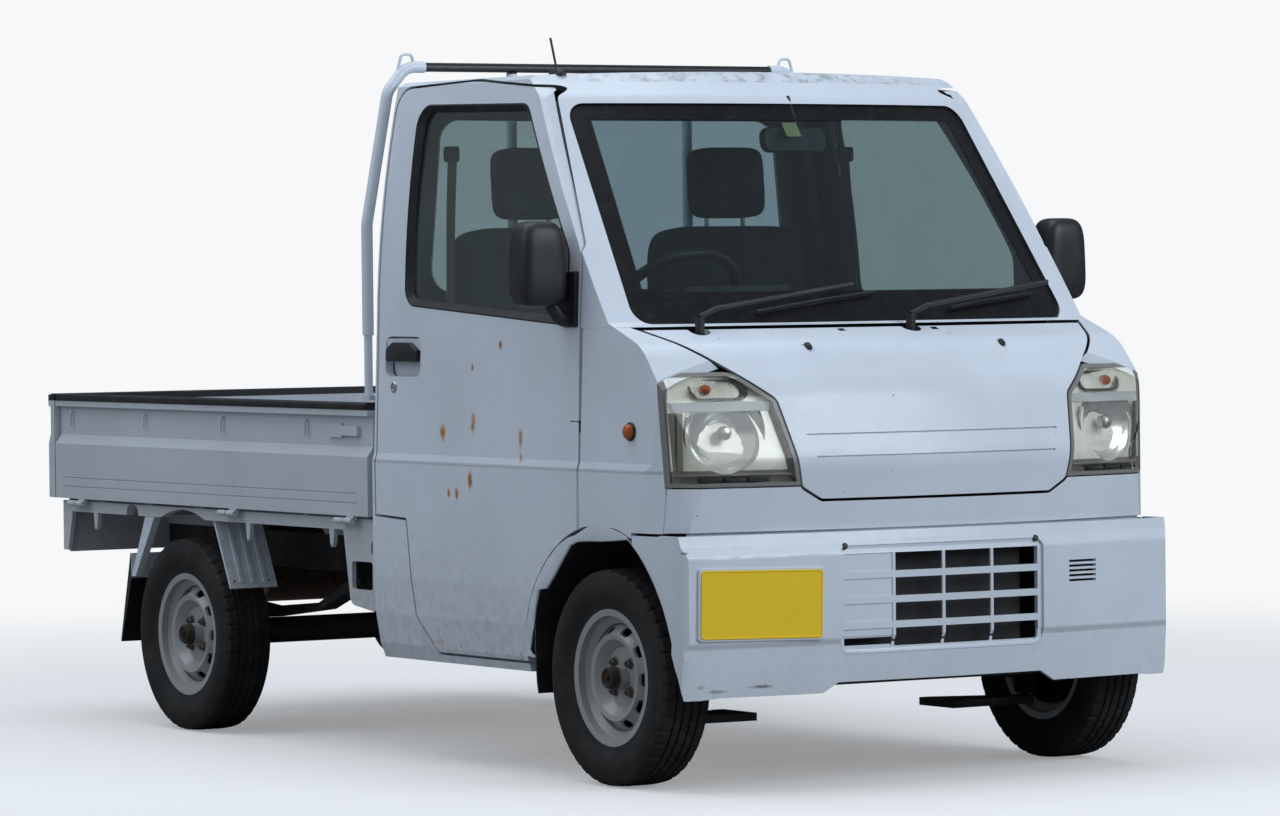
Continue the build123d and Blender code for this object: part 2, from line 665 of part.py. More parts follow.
def wheel_part():
    """A steel wheel about the X axis, its outer side towards +X: rim, slotted disc and hub."""
    half = RIM_WIDTH / 2
    wall = RIM_WALL
    # Rim section from the outer flange to the inner one, as (x, radius)
    outer = [
        (half, RIM_RADIUS), (half - wall, RIM_RADIUS), (half - wall - 1, 157), (half - 20, 156),
        (half - 32, 138), (-half + 34, 138), (-half + 22, 156), (-half + wall + 1, 157),
        (-half + wall, RIM_RADIUS), (-half, RIM_RADIUS),
    ]
    inner = [
        (-half, 166), (-half + wall - 3, 152), (-half + 22, 151), (-half + 33, 133),
        (half - 31, 133), (half - 20, 151), (half - wall + 3, 152), (half, 166),
    ]
    rim = section_turn(outer + inner)
    disc = section_turn([
        (12, 28), (20, 28), (20, 74), (44, 94), (47, 106), (14, 134), (8, 134),
        (41, 104), (39, 97), (14, 78), (12, 78),
    ])
    hub = rod("x", (0, 0), 30, -40, 46) + rod("x", (0, 0), 72, -8, 12)
    hub -= rod("x", (0, 0), 16, -60, 30)
    wheel = rim + disc + hub
    slot = Plane.YZ * SlotOverall(34, 17)
    for i in range(WHEEL_SLOTS):
        angle = 360 / WHEEL_SLOTS * (i + 0.5)
        wheel -= Rot(angle, 0, 0) * Pos(0, 0, 117) * (Part() + extrude(slot, 60, both=True))
    return wheel


def section_turn(points, radii=0):
    """A ring about the X axis from its section, given as (x, radius)."""
    corners = [(x, 0, r) for x, r in points]
    if radii:
        face = make_face(FilletPolyline(*corners, radius=radii, close=True))
    else:
        face = make_face(Polyline(*corners, close=True))
    return Part() + Solid.revolve(face.face(), 360, Axis.X)


def tyre_part():
    """A tyre about the X axis: tread, shoulders, bulging walls and the beads on the rim."""
    half = TYRE_WIDTH / 2
    bead = RIM_WIDTH / 2 - RIM_WALL - 1.3
    right = [
        (bead, 158), (bead, 173), (bead + 10, 180), (half - 2, 198), (half, 220),
        (half - 4, 245), (half - 16, 261), (half - 30, TYRE_RADIUS),
    ]
    left = [(-x, r) for x, r in reversed(right)]
    return section_turn(right + left)


# Wheels: name, side, axle position, track
WHEELS = [
    ("front_left", 1, FRONT_AXLE_Y, FRONT_TRACK),
    ("front_right", -1, FRONT_AXLE_Y, FRONT_TRACK),
    ("rear_left", 1, REAR_AXLE_Y, REAR_TRACK),
    ("rear_right", -1, REAR_AXLE_Y, REAR_TRACK),
]


def make_wheels():
    """Four wheels and their tyres."""
    print("wheels")
    wheel, tyre = wheel_part(), tyre_part()
    for name, side, y, track in WHEELS:
        place = Pos(track / 2, y, TYRE_RADIUS)
        for kind, part in (("wheel", wheel), ("tyre", tyre)):
            placed = place * part
            save(f"{kind}_{name}", placed if side > 0 else flip(placed))


STRUT_CAP = 32


def make_front_axle():
    """Steering knuckles on their pins, and the arms and struts that hold them."""
    print("front axle")
    x, y, z = KINGPIN_HALF, FRONT_AXLE_Y, TYRE_RADIUS
    knuckle = block((x - 16, x + 16), (y - 24, y + 24), (z - 96, z + 118))
    knuckle += rod("x", (y, z), 15, x, FRONT_TRACK / 2 + 24)
    knuckle += rod("x", (y, z), 34, x + 10, x + 50)
    knuckle += rod("z", (x, y), 7, z - 128, z + 146)
    knuckle += block((x - 10, x + 10), (y + 20, y + 120), (z - 60, z - 44))
    save("knuckle_left", knuckle)
    save("knuckle_right", flip(knuckle))
    arm = prism([(x + 20, y - 20), (x + 20, y + 20), (330, y + 120), (300, y + 120), (300, y - 30)],
                "z", z - 124, z - 104, [18, 18, 0, 0, 0])
    arm -= rod("z", (x, y), 7.5, 0, 400)
    strut_top = z + ((ARCH_RADIUS + 2)**2 - STRUT_CAP**2) ** 0.5 - SEAT
    strut = rod("z", (x, y), 20, z + 126, strut_top - 40) + rod("z", (x, y), STRUT_CAP, strut_top - 41, strut_top)
    strut -= rod("z", (x, y), 7.5, 300, z + 150)
    save("front_suspension", both(arm), both(strut))


RAIL_IN, RAIL_OUT = 330, 380


def make_chassis():
    """The ladder frame: two rails that rise behind the cab, and their cross members."""
    print("chassis")
    rail = prism(
        [(-1600, 300), (-250, 300), (-60, 440), (1635, 440), (1635, 540), (-100, 540), (-290, 391.7), (-1600, 391.7)],
        "x", RAIL_IN, RAIL_OUT,
    )
    members = []
    # Cross members: front, rear, bottom, top
    for front, rear, low, high in [
        (-1640, -1590, 250, 299.7), (-1180, -1120, 300, 360), (-540, -470, 262, 299.7),
        (80, 130, 460, 520), (640, 690, 470, 530), (1300, 1360, 480.3, 530), (1585, 1635, 450, 540),
    ]:
        half = RAIL_OUT if high < 300 else RAIL_IN - SEAT
        members.append(block((-half, half), (front, rear), (low, high)))
    for y in (REAR_AXLE_Y - 500, REAR_AXLE_Y + 500):
        rail += block((RAIL_OUT, 460), (y - 25, y + 25), (432, 480))
    bracket = block((340, 370), (-1654.7, -1640), (255, 295))
    members[0] += bracket + flip(bracket)
    save("chassis_frame", rail, flip(rail), members)

    save("engine", block((-230, 230), (-760, -260), (300, 620)))
    save("radiator", block((-270, 270), (-1634, -1602), (300, 625)))
    tank = block((RAIL_OUT + 20, 640), (60, 380), (330, 586.7))
    save("fuel_tank", fillet(tank.edges().filter_by(Axis.Y), 30))
    muffler = rod("x", (1330, 400), 80, -260, 200)
    tail = tube([(150, 1330, 400), (300, 1330, 400), (300, 1560, 330), (300, 1660, 330)], 18, 60)
    save("exhaust", muffler + tail)

    axle = rod("x", (REAR_AXLE_Y, TYRE_RADIUS), 36, -575, 575)
    axle += rod("x", (REAR_AXLE_Y, TYRE_RADIUS), 15, -REAR_TRACK / 2 - 24, REAR_TRACK / 2 + 24)
    axle += rod("x", (REAR_AXLE_Y, TYRE_RADIUS), 105, 40, 120) + Pos(0, REAR_AXLE_Y, TYRE_RADIUS) * Sphere(100)
    shaft = tube([(0, REAR_AXLE_Y - 80, 290), (0, -255, 420)], 30, 0)
    y, z = REAR_AXLE_Y, TYRE_RADIUS + 36.3
    leaf = prism(
        [(y - 530, 418), (y - 300, z + 34), (y, z), (y + 300, z + 34), (y + 530, 418), (y + 530, 431.7),
         (y + 480, 431.7), (y + 300, z + 54), (y, z + 30), (y - 300, z + 54), (y - 480, 431.7), (y - 530, 431.7)],
        "x", 400, 455,
    )
    save("rear_axle", axle + shaft, both(leaf))


def make_bed():
    """Load bed: floor, sills with hinge barrels, front wall, and what hangs below it."""
    print("bed")
    bed = block((-696, 696), (BED_FRONT_Y, BED_REAR_Y), (BED_FLOOR_Z - BED_FLOOR_THICK, BED_FLOOR_Z))
    bed += block((-696, 696), (BED_FRONT_Y, BED_FRONT_Y + 34), (587, WALL_TOP_Z))
    bed += block((-731, 731), (BED_FRONT_Y, BED_FRONT_Y + 34), (WALL_TOP_Z, WALL_TOP_Z + 12))
    for side in (-1, 1):
        low, high = sorted((side * 690, side * 715))
        bed += block((low, high), (BED_FRONT_Y, BED_REAR_Y), (587, 618))
        plate_low, plate_high = sorted((side * 703, side * 715))
        plate = prism([(26, 600), (-150, 600), (-150, 375), (-12, 392)], "x", plate_low, plate_high, [0, 0, 20, 30])
        plate -= prism([(-20, 432), (-129, 432), (-129, 506), (-20, 506)], "x", plate_low - 1, plate_high + 1, [10] * 4)
        plate -= rod("x", (BED_FRONT_Y + 8, 542), 22, plate_low - 1, plate_high + 1)
        bed += plate
        for y in SILL_HOOKS:
            hook = [(y - 14, 592), (y + 14, 592), (y + 8, 548), (y, 538), (y - 8, 548)]
            bed += prism(hook, "x", plate_low, plate_high)
        bed -= rod("x", (1222, 585), 36, *sorted((side * 689, side * 716)))
        bed += prism([(BED_REAR_Y, 600), (1588, 600), (1620, 476), (BED_REAR_Y, 476)], "x", plate_low, plate_high)
    for y in (-60, 250, 560, 860, 1160, 1450):
        bed += block((-696, 696), (y - 25, y + 25), (587, 637))
    bed += block((RAIL_IN, RAIL_OUT), (BED_FRONT_Y + 60, 1635), (540.3, 590))
    bed += block((-RAIL_OUT, -RAIL_IN), (BED_FRONT_Y + 60, 1635), (540.3, 590))
    beam = block((-696, 696), (1635 + SEAT, BED_REAR_Y), (470, 640))
    for x in (-PLATE_HOLES / 2, PLATE_HOLES / 2):
        beam -= rod("y", (x, 532), PLATE_HOLE_RADIUS, 1600, 1700)
    bed += beam
    arch_cut = rod("x", (REAR_AXLE_Y, TYRE_RADIUS), 345, -900, 900)
    bed -= arch_cut
    save("bed", bed, make_gates())


def make_gates():
    """Two side gates and the tailgate; returns the bed's halves of their hinges."""
    print("gates")
    top, low = GATE_TOP_Z, GATE_BOTTOM_Z
    section = [
        (HALF - GATE_THICK, low), (HALF, low), (HALF, 782), (HALF - 19, 808), (HALF - 19, 886),
        (HALF - 2, 889), (HALF - 2, top), (HALF - GATE_THICK, top),
    ]
    gate = prism(section, "y", BED_FRONT_Y + 4, 1649)
    for z in GATE_GROOVES:
        groove = [(HALF - 3, z), (HALF + 1, z - 3), (HALF + 1, z + 3)]
        gate -= prism(groove, "y", BED_FRONT_Y + 60, 1600)
    hook_x = HALF - 19
    for y in GATE_HOOKS:
        gate += tube([(hook_x - 2, y, 872), (hook_x + 11, y, 872), (hook_x + 11, y, 832)], 3.5, 6)
    gate += block((hook_x - 1, hook_x + 12), (-80, 10), (836, 862))
    gate += block((hook_x - 1, hook_x + 7), (10, 80), (830, 868))
    hinge_x, z = HALF + GATE_HINGE_OUT, GATE_HINGE_Z
    fixed = []
    for y in SIDE_HINGES:
        gate += rod("y", (hinge_x, z), GATE_BARREL, y - 45, y - 3)
        gate += block((HALF - 12, HALF), (y - 42, y - 6), (z, low + 4))
        gate -= rod("y", (hinge_x, z), GATE_PIN + PIN_PLAY, y - 46, y)
        half = rod("y", (hinge_x, z), GATE_BARREL, y + 3, y + 45)
        half += rod("y", (hinge_x, z), GATE_PIN, y - 44, y + 4)
        half += block((715 + SEAT, HALF), (y + 6, y + 42), (z - 8, z + 4))
        fixed += both(half)
    save("side_gate_left", gate)
    save("side_gate_right", flip(gate))

    hinge_y, barrel, pin = REAR_Y - TAIL_BARREL, TAIL_BARREL, TAIL_PIN
    tail = prism([(1655, low), (hinge_y, low), (hinge_y, 782), (hinge_y - 14, 808), (hinge_y - 14, 886),
                  (hinge_y, 889), (hinge_y, top), (1655, top)], "x", -HALF, HALF)
    for x in TAIL_HINGES:
        tail += rod("x", (hinge_y, z), barrel, x - 45, x - 3)
        tail += block((x - 42, x - 6), (hinge_y - 12, hinge_y), (z, low + 4))
        tail -= rod("x", (hinge_y, z), pin + PIN_PLAY, x - 46, x)
        half = rod("x", (hinge_y, z), barrel, x + 3, x + 45) + rod("x", (hinge_y, z), pin, x - 44, x + 4)
        half += block((x + 6, x + 42), (BED_REAR_Y + SEAT, hinge_y), (z - 6, z + 4))
        fixed.append(half)
    save("tailgate", tail)
    return fixed


GUARD_TUBE = 15
GUARD_BAR = 12


def make_guard():
    """The white guard frame behind the cab and the black bar along its top."""
    print("guard")
    y = BED_FRONT_Y + 18
    foot_z = WALL_TOP_Z + 12.3
    post = tube([(722, y, 1100), (722, y, 1390), (655, y, 1735), (600, y, 1800), (545, y, 1800)], GUARD_TUBE, 60)
    post += tube([(722, y, foot_z), (722, y, 1110)], 11, 0)
    post += tube([(629, y, 1772), (612, y, 1833), (582, y, 1833), (572, y, 1798)], 4, 12)
    inner = rod("z", (275, y), 14, foot_z, 1800 - GUARD_BAR - SEAT)
    top_bar = rod("x", (y, 1800), GUARD_BAR, SEAT - 545, 545 - SEAT)
    save("guard_frame", both(post), both(inner), top_bar)


def make_fittings():
    """Rear mudguards and flaps, tail lamps, mirrors, wipers and the antenna."""
    print("fittings")
    guards = []
    front_guard = prism([(754, 586.7), (665, 404), (671, 402), (764, 586.7)], "x", 560, 705)
    for x in (596, 632, 668):
        front_guard += prism([(750, 576), (674, 420), (668, 420), (744, 576)], "x", x - 5, x + 5)
    for x in (580, 688):
        front_guard -= rod("y", (x, 422), 4, 640, 720)
    guards += both(front_guard)
    guards += both(prism([(1096, 586.7), (1213, 416), (1236, 416), (1150, 586.7)], "x", 690, 712))
    guards += both(prism([(1236.3, 480), (1236.3, 414), (1300, 228), (1306, 230), (1243, 480)], "x", 560, 712))
    guards += both(block((560, 650), (-947, -939), (211, 431)))
    save("mudguards", guards)
    save("tail_lamps", both(block((560, 700), (BED_REAR_Y + SEAT, 1684), (476, 560))))

    plan = [(740, -1062), (857, -1046), (857, -1078), (830, -1124), (778, -1150), (740, -1148)]
    head = prism(plan, "z", 1172, 1387, [8, 8, 20, 30, 25, 8])
    stay = tube([(722, -1128, 1160), (752, -1128, 1172), (765, -1112, 1200)], 12, 14)
    foot = prism([(-1162, 1120), (-1072, 1128), (-1082, 1160), (-1140, 1212), (-1162, 1212)], "x", 690, 734, [8] * 5)
    whole = head + stay + foot - Pos(SEAT, 0, 0) * CAB
    save("mirror_left", whole)
    save("mirror_right", flip(whole))

    wipers = []
    for (x, y), reach in zip(WIPER_POSTS, (470, 440)):
        post = rod("z", (x, y), 12, 970 + SEAT, 1148)
        elbow = (x, y, 1148)
        knee = (x + 60, y + 12, 1168)
        tip = (x + reach, y + 22, 1222)
        arm = tube([elbow, knee, tip], 6, 20)
        wipers.append(post + arm)
    save("wipers", wipers)
    save("antenna", tube([(-560, -822, 1759.2), (-560, -790, 1850)], 3, 0))


os.makedirs("parts", exist_ok=True)
make_doors()
frame_shell, frame_ring = make_cab_frame()
roof = THICK_SHELL & block((-800, 800), (-1500, 0), (1738, 1900))
roof_cut = side_cut(DOOR_OUTLINE, DOOR_RADII, PANEL_GAP, DOOR_INNER_X - PANEL_GAP, 800)
roof -= roof_cut
roof -= flip(roof_cut)
save("cab_frame", frame_shell + frame_ring + flip(frame_ring))
save("roof", roof)
make_screens()
make_front()
make_bumper()
make_cab_inside()
make_steering()
make_wheels()
make_front_axle()
make_chassis()
make_bed()
make_guard()
make_fittings()
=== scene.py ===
"""A kei truck: looks, small fittings, lamps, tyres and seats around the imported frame."""

import json
import logging
import math
from dataclasses import dataclass, field
from enum import Enum
from typing import Callable, Iterable, Optional, Sequence

import bmesh
import bpy
from mathutils import Matrix, Vector
from mathutils.bvhtree import BVHTree

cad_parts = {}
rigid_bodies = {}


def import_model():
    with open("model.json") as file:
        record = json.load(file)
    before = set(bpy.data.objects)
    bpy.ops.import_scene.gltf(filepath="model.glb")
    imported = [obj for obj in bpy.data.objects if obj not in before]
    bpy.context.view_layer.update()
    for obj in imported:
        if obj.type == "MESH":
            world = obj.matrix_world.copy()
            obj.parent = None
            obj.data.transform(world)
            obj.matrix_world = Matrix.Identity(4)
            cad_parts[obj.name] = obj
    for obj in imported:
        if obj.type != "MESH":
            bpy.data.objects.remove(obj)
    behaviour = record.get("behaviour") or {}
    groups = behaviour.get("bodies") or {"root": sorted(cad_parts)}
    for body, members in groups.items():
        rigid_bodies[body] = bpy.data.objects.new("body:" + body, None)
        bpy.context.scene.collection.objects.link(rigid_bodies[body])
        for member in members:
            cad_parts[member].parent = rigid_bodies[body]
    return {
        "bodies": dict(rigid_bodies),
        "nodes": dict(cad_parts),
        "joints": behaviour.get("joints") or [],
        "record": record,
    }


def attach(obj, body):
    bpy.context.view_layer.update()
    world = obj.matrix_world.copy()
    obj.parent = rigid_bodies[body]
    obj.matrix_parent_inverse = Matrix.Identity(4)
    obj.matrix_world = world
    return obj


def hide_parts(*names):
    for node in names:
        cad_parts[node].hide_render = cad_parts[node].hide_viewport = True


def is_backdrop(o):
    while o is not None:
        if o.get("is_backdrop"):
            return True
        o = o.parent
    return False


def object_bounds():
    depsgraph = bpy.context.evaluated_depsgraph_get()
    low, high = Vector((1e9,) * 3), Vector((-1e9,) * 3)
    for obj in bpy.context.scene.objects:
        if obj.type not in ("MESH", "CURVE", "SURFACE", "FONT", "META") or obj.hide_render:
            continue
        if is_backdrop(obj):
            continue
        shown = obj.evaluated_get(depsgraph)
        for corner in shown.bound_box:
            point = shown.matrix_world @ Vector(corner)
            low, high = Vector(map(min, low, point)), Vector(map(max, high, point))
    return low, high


LOG = logging.getLogger("kei_truck")
MM = 0.001
# Places in millimetres outside the whole vehicle, from which its skin is looked for
BESIDE, AHEAD, ABOVE = 900, -1900, 1900
Flat = tuple[float, float]
Point = tuple[float, float, float]
Profile = tuple[Flat, ...]
Rows = tuple[tuple[float, float, float, float], ...]
Colour = tuple[float, float, float]
Piece = bpy.types.Object
Material = bpy.types.Material
Socket = bpy.types.NodeSocket


class Side(Enum):
    """Which side of the vehicle a piece is on; the value is the sign of its X."""

    LEFT = 1
    RIGHT = -1

    @property
    def word(self) -> str:
        """The side's name as the CAD nodes write it."""
        return self.name.lower()


def vec(point: Sequence[float]) -> Vector:
    """A point given in millimetres, in metres."""
    return Vector(point) * MM


def mesh_object(name: str, verts: Sequence[Sequence[float]], faces: Sequence[Sequence[int]],
                smooth: bool = True) -> Piece:
    """Make a mesh object from millimetre points.

    Args:
        name: the piece's name.
        verts: points in millimetres.
        faces: indices of each face's points.
        smooth: whether its faces are shaded smooth.

    Returns:
        The new object, linked to the scene.
    """
    mesh = bpy.data.meshes.new(name)
    mesh.from_pydata([tuple(vec(v)) for v in verts], [], [tuple(f) for f in faces])
    bm = bmesh.new()
    bm.from_mesh(mesh)
    bmesh.ops.remove_doubles(bm, verts=bm.verts, dist=1e-6)
    bmesh.ops.recalc_face_normals(bm, faces=bm.faces)
    bm.to_mesh(mesh)
    bm.free()
    obj = bpy.data.objects.new(name, mesh)
    bpy.context.scene.collection.objects.link(obj)
    if smooth:
        shade(obj)
    return obj


def shade(obj: Piece, angle: float = 35.0) -> None:
    """Smooth shading with edges sharper than `angle` degrees kept sharp."""
    for polygon in obj.data.polygons:
        polygon.use_smooth = True
    obj.data.set_sharp_from_angle(angle=math.radians(angle))


def bevel(obj: Piece, width: float, segments: int = 3, angle: float = 35.0) -> Piece:
    """Round an object's sharp edges by `width` millimetres and return it."""
    mod = obj.modifiers.new("edge", "BEVEL")
    mod.width = width * MM
    mod.segments = segments
    mod.limit_method = "ANGLE"
    mod.angle_limit = math.radians(angle)
    return apply(obj)


def apply(obj: Piece) -> Piece:
    """Apply an object's modifiers to its mesh and return it."""
    graph = bpy.context.evaluated_depsgraph_get()
    mesh = bpy.data.meshes.new_from_object(obj.evaluated_get(graph))
    obj.modifiers.clear()
    obj.data = mesh
    return obj


def join(name: str, pieces: Sequence[Piece]) -> Piece:
    """Join several mesh objects into one of the given name."""
    first = pieces[0]
    with bpy.context.temp_override(active_object=first, selected_editable_objects=list(pieces),
                                   selected_objects=list(pieces)):
        bpy.ops.object.join()
    first.name = name
    first.data.name = name
    return first


def mirrored(obj: Piece, name: str) -> Piece:
    """A copy of a piece on the other side of the vehicle."""
    copy = obj.copy()
    copy.data = obj.data.copy()
    copy.name = name
    copy.data.transform(Matrix.Scale(-1, 4, (1, 0, 0)))
    copy.data.flip_normals()
    bpy.context.scene.collection.objects.link(copy)
    return copy


def placed(obj: Piece, matrix: Matrix) -> Piece:
    """Move a piece's mesh by a matrix in metres, its origin staying put, and return it."""
    obj.data.transform(matrix)
    return obj


def box(name: str, x: Flat, y: Flat, z: Flat, round_by: float = 2.0) -> Piece:
    """A block with rounded edges between two corners in millimetres."""
    verts = [(a, b, c) for a in x for b in y for c in z]
    faces = [(0, 1, 3, 2), (4, 6, 7, 5), (0, 4, 5, 1), (2, 3, 7, 6), (0, 2, 6, 4), (1, 5, 7, 3)]
    obj = mesh_object(name, verts, faces)
    return bevel(obj, round_by) if round_by else obj


def turned(name: str, profile: Sequence[Flat], axis: str = "x", steps: int = 64,
           centre: Point = (0, 0, 0), closed: bool = False) -> Piece:
    """A piece turned about an axis.

    Args:
        name: the piece's name.
        profile: (distance along the axis, radius) points in millimetres.
        axis: the axis it is turned about.
        steps: how many steps the turn has.
        centre: where the profile's zero lies, in millimetres.
        closed: whether the profile's last point joins its first.

    Returns:
        The new object.
    """
    place = {
        "x": lambda a, r, t: (a, r * math.cos(t), r * math.sin(t)),
        "y": lambda a, r, t: (r * math.cos(t), a, r * math.sin(t)),
        "z": lambda a, r, t: (r * math.cos(t), r * math.sin(t), a),
    }[axis]
    verts, faces = [], []
    count = len(profile)
    for i in range(steps):
        turn = 2 * math.pi * i / steps
        for a, r in profile:
            verts.append([p + c for p, c in zip(place(a, r, turn), centre)])
    for i in range(steps):
        j = (i + 1) % steps
        for k in range(count if closed else count - 1):
            m = (k + 1) % count
            faces.append((i * count + k, i * count + m, j * count + m, j * count + k))
    return mesh_object(name, verts, faces)


def pipe(name: str, points: Sequence[Sequence[float]], radius: float, sides: int = 16,
         corner: float = 0.0) -> Piece:
    """A round bar along a line of points in millimetres, its corners rounded by `corner`."""
    path = rounded(points, corner) if corner else [Vector(p) for p in points]
    rings = []
    up = Vector((0, 0, 1))
    for i, p in enumerate(path):
        ahead = path[min(i + 1, len(path) - 1)] - path[max(i - 1, 0)]
        way = ahead.normalized()
        across = way.cross(up)
        if across.length < 0.05:
            across = way.cross(Vector((1, 0, 0)))
        across.normalize()
        up = across.cross(way).normalized()
        rings.append([p + radius * (math.cos(t) * across + math.sin(t) * up)
                      for t in (2 * math.pi * k / sides for k in range(sides))])
    verts = [v for ring in rings for v in ring]
    faces = []
    for i in range(len(rings) - 1):
        for k in range(sides):
            m = (k + 1) % sides
            faces.append((i * sides + k, i * sides + m, (i + 1) * sides + m, (i + 1) * sides + k))
    faces.append(tuple(range(sides)))
    faces.append(tuple(range((len(rings) - 1) * sides, len(rings) * sides)))
    return mesh_object(name, verts, faces)


def rounded(points: Sequence[Sequence[float]], corner: float, steps: int = 8) -> list[Vector]:
    """A line of points with each corner replaced by a smooth bend."""
    source = [Vector(p) for p in points]
    path = [source[0]]
    for a, b, c in zip(source, source[1:], source[2:]):
        reach = min(corner, (a - b).length * 0.45, (c - b).length * 0.45)
        start, end = b + (a - b).normalized() * reach, b + (c - b).normalized() * reach
        for i in range(steps + 1):
            t = i / steps
            path.append(start * (1 - t) ** 2 + b * 2 * t * (1 - t) + end * t**2)
    path.append(source[-1])
    return path


def outline(corners: Sequence[Flat], radii: Sequence[float], steps: int = 6) -> list[Flat]:
    """A closed flat outline with its corners rounded."""
    count = len(corners)
    result = []
    for i in range(count):
        a, b, c = (Vector(corners[(i + d) % count]) for d in (-1, 0, 1))
        to_a, to_c = (a - b).normalized(), (c - b).normalized()
        if not radii[i]:
            result.append(tuple(b))
            continue
        half = to_a.angle(to_c) / 2
        reach = min(radii[i] / math.tan(half), (a - b).length * 0.49, (c - b).length * 0.49)
        radius = reach * math.tan(half)
        centre = b + (to_a + to_c).normalized() * (radius / math.sin(half))
        start, end = b + to_a * reach - centre, b + to_c * reach - centre
        sweep = start.angle_signed(end)
        for k in range(steps + 1):
            t = -sweep * k / steps
            turn = Matrix.Rotation(t, 2)
            result.append(tuple(centre + turn @ start))
    return result


def slab(name: str, shape: Sequence[Flat], axis: str, low: float, high: float,
         round_by: float = 0.0) -> Piece:
    """A flat-sided piece whose outline lies square to `axis`, between two places on it."""
    place = {
        "x": lambda a, b, at: (at, a, b),
        "y": lambda a, b, at: (a, at, b),
        "z": lambda a, b, at: (a, b, at),
    }[axis]
    count = len(shape)
    verts = [place(a, b, low) for a, b in shape] + [place(a, b, high) for a, b in shape]
    faces = [tuple(range(count)), tuple(range(count, 2 * count))]
    faces += [(i, (i + 1) % count, count + (i + 1) % count, count + i) for i in range(count)]
    obj = mesh_object(name, verts, faces)
    return bevel(obj, round_by) if round_by else obj


